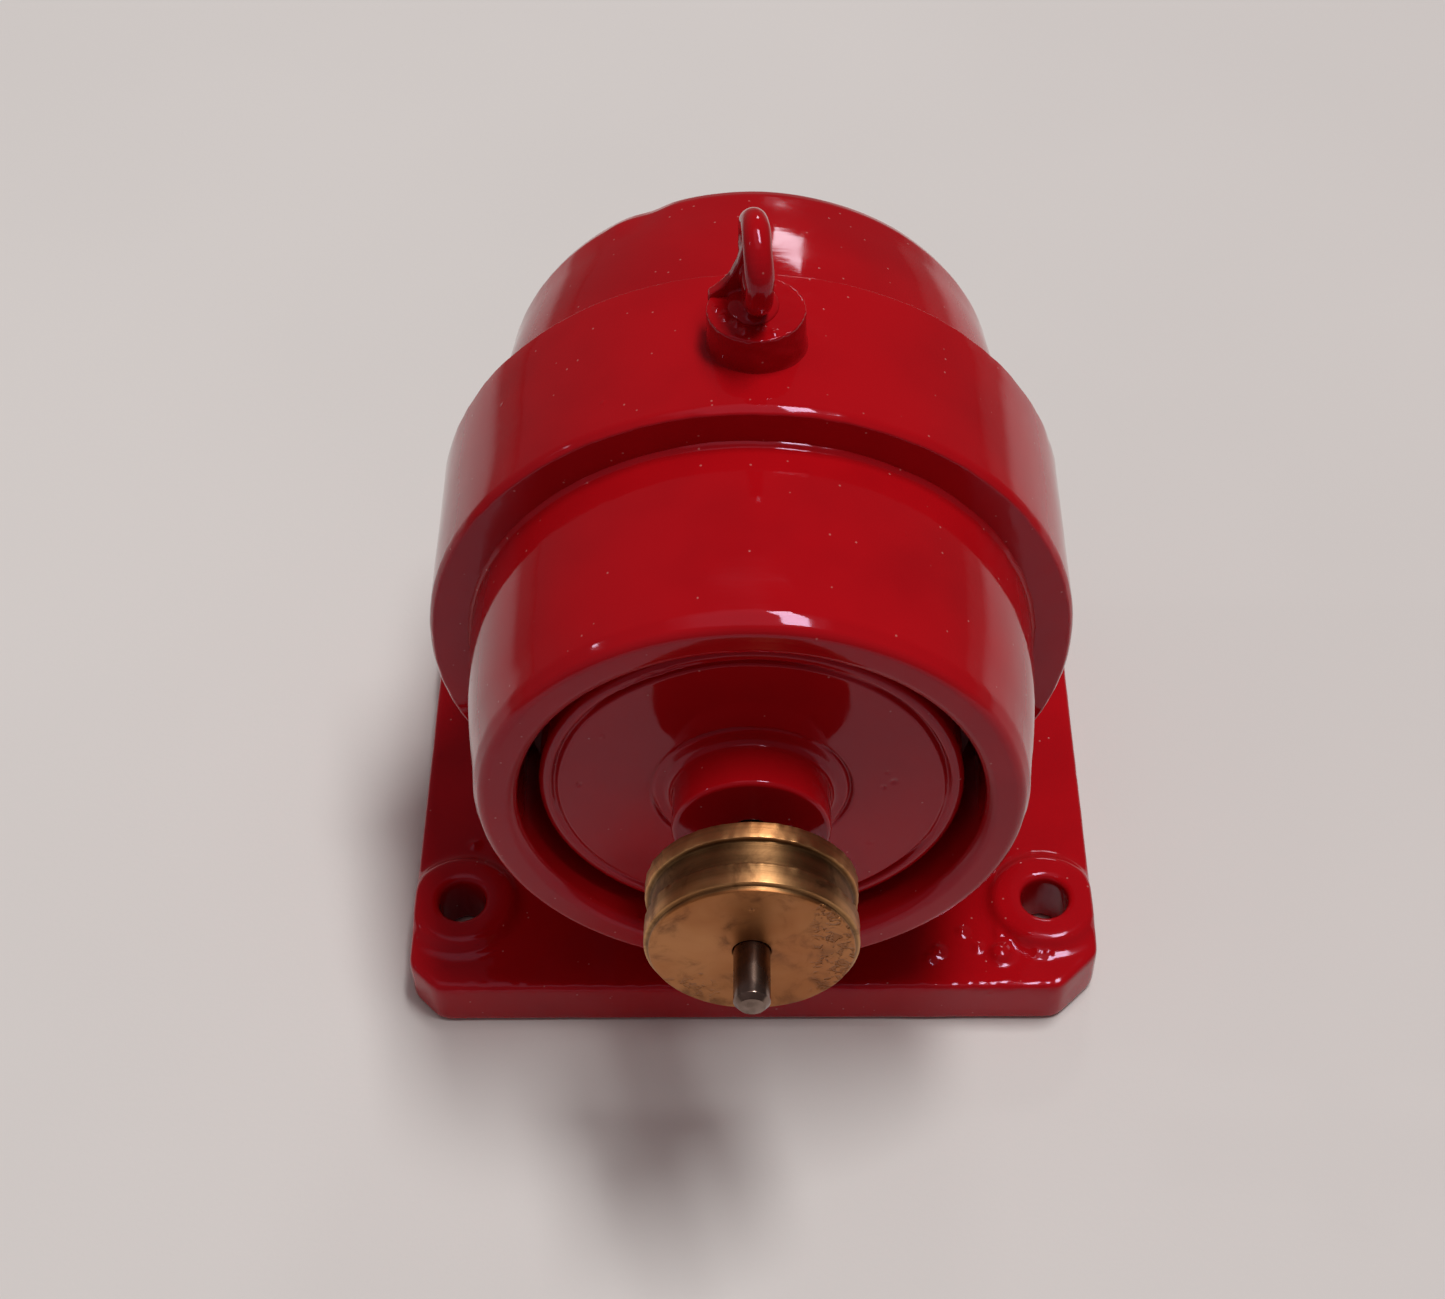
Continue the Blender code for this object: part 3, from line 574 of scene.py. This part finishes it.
def makeBasePlate():
    low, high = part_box("base_plate")
    halfX = plateShape["halfWidth"]
    halfY = (high.y - low.y) / 2
    top = high.z - plateShape["padHeight"]
    frontLeft, frontRight, rearRight, rearLeft = plateShape["corners"]
    edge = plateShape["edge"]
    outline = roundedLine([
        (-halfX + frontLeft, -halfY, edge), (halfX - frontRight, -halfY, edge),
        (halfX, -halfY + frontRight, edge), (halfX, halfY - rearRight, edge),
        (halfX - rearRight, halfY, edge), (-halfX + rearLeft, halfY, edge),
        (-halfX, halfY - rearLeft, edge), (-halfX, -halfY + frontLeft, edge)])
    cutters = []
    shapes = []
    foot, crown = plateShape["pad"]
    holeRadius, holeShift = plateShape["hole"]
    side = halfX - 0.05 * mm
    for mount in frame["record"]["mounts"]:
        if not mount["name"].startswith("bolt_pad"):
            continue
        x, y, z = mount["pos_m"]
        x += math.copysign(holeShift, x)
        pad = uprightRod(foot, top - 0.3 * mm, z + 0.04 * mm, x, y, topRadius=crown)
        for vertex in pad.vertices:
            vertex.co.x = max(-side, min(side, vertex.co.x))
        shapes.append((pad, "UNION"))
        cutters.append((uprightRod(holeRadius, -1.0 * mm, 9.0 * mm, x, y), "DIFFERENCE"))
    seatRadius, seatLength = plateShape["seat"]
    seat = shapeMesh(
        lambda work: bmesh.ops.create_cone(work, cap_ends=True, segments=128, radius1=seatRadius,
                                           radius2=seatRadius, depth=seatLength),
        Matrix.Translation(shaftLine) @ Matrix.Rotation(math.pi / 2, 4, "X"))
    cutters.append((seat, "DIFFERENCE"))
    head, straight, coneEnd = plateShape["screwHead"]
    hole = plateShape["screwHole"]
    for node in ("base_screw_left", "base_screw_right"):
        screwLow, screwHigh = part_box(node)
        x = (screwLow.x + screwHigh.x) / 2
        cutters.append((uprightRod(head, -1.0 * mm, straight, x), "DIFFERENCE"))
        cutters.append((uprightRod(head, straight - 0.01 * mm, coneEnd, x, topRadius=hole), "DIFFERENCE"))
        cutters.append((uprightRod(hole, 1.0 * mm, 6.0 * mm, x), "DIFFERENCE"))
    plate = carved(prism(outline, low.z, top), shapes + cutters)
    drops = [blob((x * mm, y * mm, top), (radius * mm, radius * mm, height * mm))
             for x, y, radius, height in plateShape["drops"]]
    (padX, padY), out, up = plateShape["pimpledPad"]
    first, last, count, radius, height = plateShape["pimples"]
    for step in range(count):
        turn = first + (last - first) * (step + 0.3 * math.sin(5.0 * step)) / count
        spot = ((padX + out * math.cos(turn)) * mm, (padY + out * math.sin(turn)) * mm, top + up * mm)
        drops.append(blob(spot, (radius * mm, radius * mm, height * mm)))
    start, end, count, across, along, height = plateShape["run"]
    for step in range(count):
        x, y = Vector(start).lerp(Vector(end), step / (count - 1)) * mm
        drops.append(blob((x, y, top), (across * mm, along * mm, height * mm)))
    first, second = plateShape["softness"]
    plate = remeshed([plate], "plate_melted", plateShape["voxel"], first)
    mesh = remeshed([plate, *drops], "plate_skin", plateShape["voxel"], second)
    roughen(mesh, *plateShape["ripple"], above=0.3 * mm)
    roughen(mesh, *plateShape["grain"], seed=4.0, above=0.3 * mm)
    size, depth = plateShape["edgeGrain"]
    for vertex in mesh.vertices:
        x, y, z = vertex.co
        near = hill(y + halfY, 0.5 * mm) * hill(z - top, 0.5 * mm)
        if near > 0.02:
            vertex.co += Vector((0.0, -0.7, 0.7)) * near * ripple(x, y, z, size, depth, 6.0)
    return newPiece("plate_skin", mesh, redEnamel, "casing", "base_plate")


# ---------- collar and lifting eye

eyeShape = {
    "voxel": 0.085 * mm,
    "softness": 4,
    "turn": math.radians(5),
    "wire": 0.90 * mm,
    "ripple": (1.6 * mm, 0.05 * mm),
    "web": (                                 # outline of the paint web: sideways, and up from the collar
        (0.6, -0.3), (0.6, 3.2), (-0.35, 4.9), (-0.75, 3.6), (-1.05, 2.5), (-1.5, 1.55), (-2.1, 0.75),
        (-2.85, 0.2), (-2.95, -0.3)),
    "webDepth": (1.3, 2.0),                  # its front and back, behind the middle of the eye
    "blisters": (                            # sideways and back from the collar's middle, and size
        (-2.0, -0.9, 0.26), (-2.5, -0.1, 0.20), (-1.2, -1.4, 0.30), (-0.7, -2.1, 0.30), (-1.5, 0.9, 0.28),
        (-0.9, 0.3, 0.26), (-0.4, -1.2, 0.24), (0.3, -1.9, 0.22), (1.1, -2.3, 0.24)),
    "collarFoot": 0.25 * mm,
    "collarVoxel": 0.10 * mm,
    "collarRipples": ((1.5 * mm, 0.05 * mm, 2.0), (0.6 * mm, 0.03 * mm, 6.0)),      # size, depth, seed
    "rounds": (48, 20),                      # steps round the eye and round its wire
    "stem": (1.15 * mm, 0.9 * mm),           # radius at its foot and under the eye
    "puddle": (1.7 * mm, 2.0 * mm, 0.6 * mm),           # half sizes of the paint round its foot
}


def eyeCentre():
    low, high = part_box("eye_collar")
    return (low.x + high.x) / 2, (low.y + high.y) / 2


def makeCollar():
    low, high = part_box("eye_collar")
    x, y = eyeCentre()
    radius = (high.x - low.x) / 2
    body = uprightRod(radius, low.z - 0.4 * mm, high.z, x, y, topRadius=radius - 0.08 * mm)
    foot = uprightRod(radius + eyeShape["collarFoot"], low.z - 0.6 * mm, low.z + 0.5 * mm, x, y,
                      topRadius=radius - 0.1 * mm)
    blisters = [blob((x + side * mm, y + back * mm, high.z), (size * mm, size * 1.3 * mm, size * 0.7 * mm))
                for side, back, size in eyeShape["blisters"]]
    mesh = remeshed([body, foot, *blisters], "collar_skin", eyeShape["collarVoxel"], eyeShape["softness"])
    for size, depth, seed in eyeShape["collarRipples"]:
        roughen(mesh, size, depth, seed)
    return newPiece("collar_skin", mesh, redEnamel, "casing", "eye_collar")


def makeLiftingEye():
    low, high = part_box("lifting_eye")
    x, y = eyeCentre()
    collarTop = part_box("eye_collar")[1].z
    wire = eyeShape["wire"]
    reach = (high.y - low.y) / 2 / math.cos(eyeShape["turn"]) - wire
    middle = high.z - reach - wire
    spin = Matrix.Translation((x, y, 0.0)) @ Matrix.Rotation(eyeShape["turn"], 4, "Z")

    def build(work):
        steps, sides = eyeShape["rounds"]
        rings = []
        for step in range(steps):
            angle = math.tau * step / steps
            inward = Vector((0.0, math.sin(angle), math.cos(angle)))
            ring = []
            for side in range(sides):
                turn = math.tau * side / sides
                out = inward * (reach + wire * math.cos(turn))
                ring.append(work.verts.new(Vector((wire * math.sin(turn), 0.0, middle)) + out))
            rings.append(ring)
        for first, second in zip(rings, rings[1:] + rings[:1]):
            for side in range(sides):
                after = (side + 1) % sides
                work.faces.new((first[side], first[after], second[after], second[side]))
        bmesh.ops.recalc_face_normals(work, faces=work.faces)

    def buildWeb(work):
        front, back = (depth * mm for depth in eyeShape["webDepth"])
        near = [work.verts.new((side * mm, front, collarTop + rise * mm)) for side, rise in eyeShape["web"]]
        far = [work.verts.new((side * mm, back, collarTop + rise * mm)) for side, rise in eyeShape["web"]]
        work.faces.new(near)
        work.faces.new(far[::-1])
        for index in range(len(near)):
            after = (index + 1) % len(near)
            work.faces.new((near[index], far[index], far[after], near[after]))
        bmesh.ops.recalc_face_normals(work, faces=work.faces)

    thick, thin = eyeShape["stem"]
    stem = uprightRod(thick, collarTop - 2.0 * mm, middle - reach + 0.1 * mm, x, y, topRadius=thin)
    puddle = blob((x - 0.2 * mm, y + 0.3 * mm, collarTop), eyeShape["puddle"])
    mesh = remeshed([shapeMesh(build, spin), shapeMesh(buildWeb, spin), stem, puddle], "eye_skin",
                    eyeShape["voxel"], eyeShape["softness"])
    roughen(mesh, *eyeShape["ripple"])
    return newPiece("eye_skin", mesh, redEnamel, "casing", "lifting_eye")


# ---------- pulley and shaft

brass = {
    "bright": (0.72, 0.40, 0.17),
    "dull": (0.40, 0.148, 0.048),
    "brown": (0.15, 0.056, 0.024),
    "groove": 0.46,                          # how much of its colour the groove keeps under the painted shade
    "turning": 0.60,                         # how far the tool marks stretch a highlight
    "marks": (9000.0, 0.012 * mm),           # tool marks: scale and height
    "stain": (420.0, 5.0, 0.62, 0.6),        # scale, detail, roughness, distortion
    "blotch": (160.0, 3.0, 0.55),
    "gnawed": (1500.0, 2.0, 0.6, 0.8),
    "stainHeight": 0.012 * mm,
    "pitDepth": 0.10 * mm,
    "rightSide": (3.4 * mm, 4.4 * mm),       # where the corrosion on the face starts, and where it is full
    "lowerLeft": ((-2.6 * mm, -3.6 * mm), (-2.0 * mm, -3.0 * mm)),      # the same downwards, and to the left
    "roughness": (0.36, 0.48),
    "frontRougher": 0.06,
}


def brassMaterial():
    low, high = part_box("pulley")
    rim = (high.x - low.x) / 2
    material, tree, shader = newMaterial("pulleyBrass")
    point = objectPoint(tree)
    parts = addNode(tree, "ShaderNodeSeparateXYZ", {"Vector": point})
    x = parts.outputs[0]
    z = calc(tree, "SUBTRACT", parts.outputs[2], shaftHeight)
    radius = calc(tree, "SQRT", calc(tree, "ADD", calc(tree, "MULTIPLY", x, x), calc(tree, "MULTIPLY", z, z)))
    along = parts.outputs[1]
    # one profile distance for faces and rims, so the tool marks run round the pulley everywhere
    markScale, markHeight = brass["marks"]
    across = addNode(tree, "ShaderNodeCombineXYZ", {"X": calc(tree, "MULTIPLY", radius, markScale),
                                                    "Y": calc(tree, "MULTIPLY", along, markScale)}).outputs[0]
    marks = noiseValue(tree, across, 1.0, 3.0, 0.7)
    wide = noiseValue(tree, addNode(tree, "ShaderNodeVectorMath", {0: across, 1: (0.12, 0.12, 0.12)},
                                    operation="MULTIPLY").outputs[0], 1.0, 2.0)
    stain = noiseValue(tree, point, *brass["stain"])
    blotch = noiseValue(tree, point, *brass["blotch"])
    frontFace = spread(tree, along, low.y + 0.3 * mm, low.y + 0.1 * mm)
    dull = calc(tree, "MAXIMUM", calc(tree, "MULTIPLY", frontFace, spread(tree, blotch, 0.3, 0.7, 0.75, 1.0)),
                spread(tree, blotch, 0.42, 0.68, 0.25, 0.80))
    colour = blendColour(tree, dull, rgba(brass["bright"]), rgba(brass["dull"]))
    pits = spread(tree, noiseValue(tree, point, *brass["gnawed"]), 0.50, 0.38)
    rightSide = spread(tree, x, *brass["rightSide"])
    down, left = brass["lowerLeft"]
    lowerLeft = calc(tree, "MULTIPLY", spread(tree, z, *down), spread(tree, x, *left))
    eaten = calc(tree, "MAXIMUM", rightSide, calc(tree, "MULTIPLY", lowerLeft, 0.8))
    where = calc(tree, "MULTIPLY", eaten, frontFace)
    few = calc(tree, "MULTIPLY", scattered(tree, point, 900.0, 0.16, 0.20), frontFace)
    holes = calc(tree, "ADD", calc(tree, "MULTIPLY", pits, where), calc(tree, "MULTIPLY", few, 0.6))
    brown = calc(tree, "MULTIPLY", spread(tree, stain, 0.48, 0.74), 0.75)
    brown = calc(tree, "MAXIMUM", brown, calc(tree, "MULTIPLY", holes, 0.45))
    colour = blendColour(tree, brown, colour, rgba(brass["brown"]))
    lines = blendValue(tree, frontFace, spread(tree, wide, 0.35, 0.65, 0.55, 1.05), 1.0)
    # painted shade: on the side surfaces below the rim, the groove above all, the colour is darkened
    inGroove = spread(tree, radius, rim - 0.05 * mm, rim - 0.22 * mm)
    grooveShade = calc(tree, "MULTIPLY", inGroove, 1.0 - brass["groove"])
    onSide = calc(tree, "SUBTRACT", 1.0, frontFace)
    kept = calc(tree, "SUBTRACT", 1.0, calc(tree, "MULTIPLY", grooveShade, onSide))
    lines = calc(tree, "MULTIPLY", lines, kept)
    colour = addNode(tree, "ShaderNodeVectorMath", {0: colour, "Scale": lines}, operation="SCALE").outputs[0]
    tree.links.new(colour, shader.inputs["Base Color"])
    shader.inputs["Metallic"].default_value = 1.0
    rough = spread(tree, stain, 0.3, 0.75, *brass["roughness"])
    rough = calc(tree, "ADD", rough, calc(tree, "MULTIPLY", frontFace, brass["frontRougher"]))
    tree.links.new(rough, shader.inputs["Roughness"])
    shader.inputs["Anisotropic"].default_value = brass["turning"]
    shader.inputs["Anisotropic Rotation"].default_value = 0.25
    around = addNode(tree, "ShaderNodeTangent", direction_type="RADIAL", axis="Y").outputs["Tangent"]
    tree.links.new(around, shader.inputs["Tangent"])
    normal = bumpFrom(tree, calc(tree, "MULTIPLY", marks, onSide), markHeight)
    normal = bumpFrom(tree, stain, brass["stainHeight"], normal)
    normal = bumpFrom(tree, calc(tree, "MULTIPLY", holes, -1.0), brass["pitDepth"], normal)
    tree.links.new(normal, shader.inputs["Normal"])
    return material


pulleyShape = {
    "steps": 256,
    "groove": {"rear": 1.2 * mm, "front": 3.1 * mm, "depth": 0.38 * mm},      # ends from the rear face
    "step": (0.45 * mm, 0.30 * mm),                           # turned-down step at the front: length, depth
    "bore": 1.20 * mm,
    "burr": (0.5, 0.07 * mm),                                 # spacing and height
    "ripple": (1.2 * mm, 0.02 * mm),
    "spacing": 0.35 * mm,
}


def makePulley():
    low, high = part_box("pulley")
    rim = (high.x - low.x) / 2
    depth = pulleyShape["groove"]["depth"]
    grooveRear = high.y - pulleyShape["groove"]["rear"]
    grooveFront = high.y - pulleyShape["groove"]["front"]
    stepLength, stepDepth = pulleyShape["step"]
    stepAlong = low.y + stepLength
    bore = pulleyShape["bore"]
    line = roundedLine([
        (bore, low.y, 0.08 * mm), (rim - stepDepth, low.y, 0.12 * mm),
        (rim - stepDepth, stepAlong - 0.1 * mm, 0.05 * mm), (rim, stepAlong, 0.08 * mm),
        (rim, grooveFront, 0.08 * mm),
        (rim - depth, grooveFront + 0.08 * mm, 0.15 * mm), (rim - depth, grooveRear - 0.08 * mm, 0.15 * mm),
        (rim, grooveRear, 0.08 * mm), (rim, high.y, 0.12 * mm), (bore, high.y, 0.08 * mm)], 5)
    spacing, burr = pulleyShape["burr"]

    def reshape(radius, along, angle):
        spot = ringPoint(radius, along, angle)
        edge = max(hill(along - grooveFront, 0.25 * mm), hill(along - grooveRear, 0.25 * mm),
                   hill(along - high.y, 0.3 * mm)) if radius > rim - 0.3 * mm else 0.0
        rough = noise.noise(Vector(spot) / (spacing * mm))
        return burr * edge * rough, ripple(*spot, *pulleyShape["ripple"])

    line = evenedLine(line, pulleyShape["spacing"])
    mesh = turnedMesh("pulley_turned", line, pulleyShape["steps"], reshape)
    return newPiece("pulley_turned", mesh, brassMaterial(), "rotor", "pulley")


steel = {
    "colour": (0.27, 0.19, 0.155),
    "dark": (0.13, 0.085, 0.065),
    "rings": (7000.0, 0.002 * mm),           # grinding marks: scale and height
    "wear": (700.0, 0.003 * mm),
    "roughness": (0.14, 0.30),
}


def steelMaterial():
    material, tree, shader = newMaterial("shaftSteel")
    ringScale, ringHeight = steel["rings"]
    wearScale, wearHeight = steel["wear"]
    point = objectPoint(tree)
    parts = addNode(tree, "ShaderNodeSeparateXYZ", {"Vector": point})
    along = calc(tree, "MULTIPLY", parts.outputs[1], ringScale)
    rings = noiseValue(tree, addNode(tree, "ShaderNodeCombineXYZ", {"Y": along}).outputs[0], 1.0, 3.0, 0.7)
    wear = noiseValue(tree, point, wearScale, 4.0)
    colour = blendColour(tree, spread(tree, wear, 0.35, 0.7), rgba(steel["colour"]), rgba(steel["dark"]))
    tree.links.new(colour, shader.inputs["Base Color"])
    shader.inputs["Metallic"].default_value = 1.0
    tree.links.new(spread(tree, wear, 0.3, 0.7, *steel["roughness"]), shader.inputs["Roughness"])
    normal = bumpFrom(tree, rings, ringHeight)
    normal = bumpFrom(tree, wear, wearHeight, normal)
    tree.links.new(normal, shader.inputs["Normal"])
    return material


shaftShape = {
    "steps": 96,
    "frontChamfer": (0.32 * mm, 0.35 * mm),      # inwards and along
    "rearChamfer": (0.30 * mm, 0.30 * mm),
}


def makeShaft():
    low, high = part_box("shaft")
    radius = (high.x - low.x) / 2
    frontIn, frontLength = shaftShape["frontChamfer"]
    rearIn, rearLength = shaftShape["rearChamfer"]
    line = roundedLine([
        (0.0, low.y, 0), (radius - frontIn, low.y, 0.06 * mm), (radius, low.y + frontLength, 0.10 * mm),
        (radius, high.y - rearLength, 0.05 * mm), (radius - rearIn, high.y, 0.05 * mm), (0.0, high.y, 0)], 4)
    mesh = turnedMesh("shaft_ground", line, shaftShape["steps"])
    return newPiece("shaft_ground", mesh, steelMaterial(), "rotor", "shaft")


# ---------- finishes of the parts inside and behind

hiddenFinishes = {
    # slot: colour, second colour, metallic, roughness, noise scale, bump height
    "screw_steel": ((0.16, 0.16, 0.165), (0.08, 0.08, 0.085), 1.0, (0.30, 0.50), 900.0, 0.006),
    "terminal_brass": ((0.66, 0.45, 0.20), (0.40, 0.24, 0.09), 1.0, (0.22, 0.45), 700.0, 0.006),
    "cap_plastic": ((0.022, 0.022, 0.023), (0.012, 0.012, 0.013), 0.0, (0.38, 0.58), 1500.0, 0.010),
    "packing_rubber": ((0.260, 0.030, 0.034), (0.150, 0.018, 0.020), 0.0, (0.35, 0.65), 800.0, 0.020),
    "magnet_ferrite": ((0.060, 0.060, 0.066), (0.030, 0.030, 0.034), 0.0, (0.55, 0.80), 1800.0, 0.015),
    "clip_steel": ((0.46, 0.46, 0.47), (0.30, 0.30, 0.31), 1.0, (0.22, 0.38), 800.0, 0.004),
    "lamination_steel": ((0.50, 0.51, 0.53), (0.32, 0.33, 0.36), 1.0, (0.30, 0.50), 900.0, 0.006),
    "copper_wire": ((0.50, 0.14, 0.045), (0.33, 0.07, 0.020), 0.6, (0.20, 0.38), 700.0, 0.010),
    "commutator_copper": ((0.72, 0.30, 0.15), (0.40, 0.15, 0.07), 1.0, (0.20, 0.42), 900.0, 0.004),
    "bearing_bronze": ((0.44, 0.27, 0.12), (0.28, 0.16, 0.07), 1.0, (0.45, 0.65), 2200.0, 0.012),
    "spring_bronze": ((0.62, 0.38, 0.18), (0.45, 0.25, 0.11), 1.0, (0.22, 0.36), 700.0, 0.003),
    "brush_carbon": ((0.028, 0.028, 0.030), (0.014, 0.014, 0.015), 0.0, (0.60, 0.80), 2400.0, 0.010),
    "washer_fibre": ((0.30, 0.20, 0.12), (0.20, 0.12, 0.07), 0.0, (0.70, 0.90), 1200.0, 0.020),
}


def hiddenMaterial(slotName, look):
    colour, second, metallic, (low, high), scale, height = look
    material, tree, shader = newMaterial(slotName)
    point = objectPoint(tree)
    grain = noiseValue(tree, point, scale, 4.0)
    patches = noiseValue(tree, point, scale / 5, 3.0)
    tree.links.new(blendColour(tree, spread(tree, patches, 0.35, 0.7), rgba(colour), rgba(second)),
                   shader.inputs["Base Color"])
    shader.inputs["Metallic"].default_value = metallic
    tree.links.new(spread(tree, patches, 0.3, 0.7, low, high), shader.inputs["Roughness"])
    tree.links.new(bumpFrom(tree, grain, height * mm), shader.inputs["Normal"])
    return material


def finishHiddenParts():
    made = {name: hiddenMaterial(name, look) for name, look in hiddenFinishes.items()}
    for node, part in frame["nodes"].items():
        if part.hide_render:
            continue
        part.data.materials.clear()
        part.data.materials.append(made[slotOf[node]])


# ---------- paper, light and camera

paper = {
    "colour": (0.725, 0.700, 0.672),
    # painted shade: the paper's colour towards the right is darker
    "right": (0.665, 0.636, 0.612),
    "turn": 90.0 * mm,                       # how far from the middle each colour is reached
    "size": 3.0,
    "uneven": (0.985, 1.015),
    "fibres": (2500.0, 0.01 * mm),           # scale and height
    "farShade": (0.14, 0.23, 0.30),              # painted shade far from the middle: where it starts to darken, where it ends, and what is left
}


def makePaper():
    half = paper["size"] / 2
    mesh = shapeMesh(lambda work: bmesh.ops.create_grid(work, x_segments=1, y_segments=1, size=half))
    floor = bpy.data.objects.new("paper_floor", mesh)
    bpy.context.scene.collection.objects.link(floor)
    floor.location.z = -0.02 * mm
    material, tree, shader = newMaterial("palePaper")
    point = objectPoint(tree)
    cloud = noiseValue(tree, point, 14.0, 3.0)
    fibreScale, fibreHeight = paper["fibres"]
    fibres = noiseValue(tree, point, fibreScale, 3.0)
    side = addNode(tree, "ShaderNodeSeparateXYZ", {"Vector": point}).outputs[0]
    # painted shade: the colour darkens towards the right
    shadeToRight = spread(tree, side, -paper["turn"], paper["turn"])
    colour = blendColour(tree, shadeToRight, rgba(paper["colour"]), rgba(paper["right"]))
    uneven = spread(tree, cloud, 0.3, 0.7, *paper["uneven"])
    # painted shade: the colour darkens far from the middle
    near, far, share = paper["farShade"]
    distance = addNode(tree, "ShaderNodeVectorMath", {0: point}, operation="LENGTH").outputs["Value"]
    uneven = calc(tree, "MULTIPLY", uneven, spread(tree, distance, near, far, 1.0, share))
    colour = addNode(tree, "ShaderNodeVectorMath", {0: colour, "Scale": uneven}, operation="SCALE").outputs[0]
    tree.links.new(colour, shader.inputs["Base Color"])
    tree.links.new(bumpFrom(tree, fibres, fibreHeight), shader.inputs["Normal"])
    shader.inputs["Roughness"].default_value = 0.85
    shader.inputs["Specular IOR Level"].default_value = 0.2
    mesh.materials.append(material)


lamps = {
    # direction to the lamp, distance, width, height, power
    "ceilingLamp": ((0.24, 0.065, 0.97), 1.2, 0.58, 0.23, 10.1),
    "windowLamp": ((0.168, 0.867, 0.469), 1.2, 0.16, 0.125, 0.7),
    "leftLamp": ((-0.83, 0.02, 0.53), 1.2, 0.06, 0.05, 0.26),
}
roomLight = {"dark": 0.08, "ceiling": 0.50, "front": 0.13, "left": 0.05, "colour": (1.10, 0.92, 0.94)}


def makeLights():
    middle = Vector((0.0, 0.0, 20 * mm))
    for name, (way, distance, width, height, power) in lamps.items():
        light = bpy.data.lights.new(name, "AREA")
        light.shape = "RECTANGLE"
        light.size = width
        light.size_y = height
        light.energy = power
        lamp = bpy.data.objects.new(name, light)
        bpy.context.scene.collection.objects.link(lamp)
        lamp.location = middle + Vector(way).normalized() * distance
        lamp.rotation_euler = Vector(way).to_track_quat("Z", "Y").to_euler()
    world = bpy.data.worlds.new("room")
    bpy.context.scene.world = world
    world.use_nodes = True
    tree = world.node_tree
    way = addNode(tree, "ShaderNodeTexCoord").outputs["Generated"]
    parts = addNode(tree, "ShaderNodeSeparateXYZ", {"Vector": way})
    front = spread(tree, parts.outputs[1], 0.2, -0.6, roomLight["dark"], roomLight["front"])
    left = spread(tree, parts.outputs[0], 0.2, -0.7, 0.0, roomLight["left"])
    ceiling = spread(tree, parts.outputs[2], 0.86, 0.97, 0.0, roomLight["ceiling"])
    background = tree.nodes["Background"]
    background.inputs["Color"].default_value = rgba(roomLight["colour"])
    tree.links.new(calc(tree, "ADD", calc(tree, "ADD", front, left), ceiling), background.inputs["Strength"])


cameraSetup = {
    "place": (0.50 * mm, -114.8 * mm, 149.2 * mm),
    "down": 48.76, "left": 1.295, "roll": -1.312,       # degrees
    "lens": 59.62,
}


def makeCamera():
    data = bpy.data.cameras.new("benchCamera")
    data.lens = cameraSetup["lens"]
    data.sensor_width = 36.0
    data.clip_start = 0.005
    data.clip_end = 20.0
    camera = bpy.data.objects.new("benchCamera", data)
    bpy.context.scene.collection.objects.link(camera)
    turn = Matrix.Rotation(math.radians(cameraSetup["left"]), 4, "Z")
    turn = turn @ Matrix.Rotation(math.radians(90 - cameraSetup["down"]), 4, "X")
    turn = turn @ Matrix.Rotation(math.radians(cameraSetup["roll"]), 4, "Z")
    camera.matrix_world = Matrix.Translation(cameraSetup["place"]) @ turn
    bpy.context.scene.camera = camera
    bpy.context.scene.view_settings.view_transform = "Standard"


print("camera and light")
makeCamera()
makeLights()
makePaper()
print("casing")
makeFieldRing()
makeDrum("front_drum", -1)
makeDrum("rear_drum", 1)
makeMotorCan()
print("base plate")
makeBasePlate()
print("collar and eye")
makeCollar()
makeLiftingEye()
print("pulley and shaft")
makePulley()
makeShaft()
print("parts inside and behind")
finishHiddenParts()
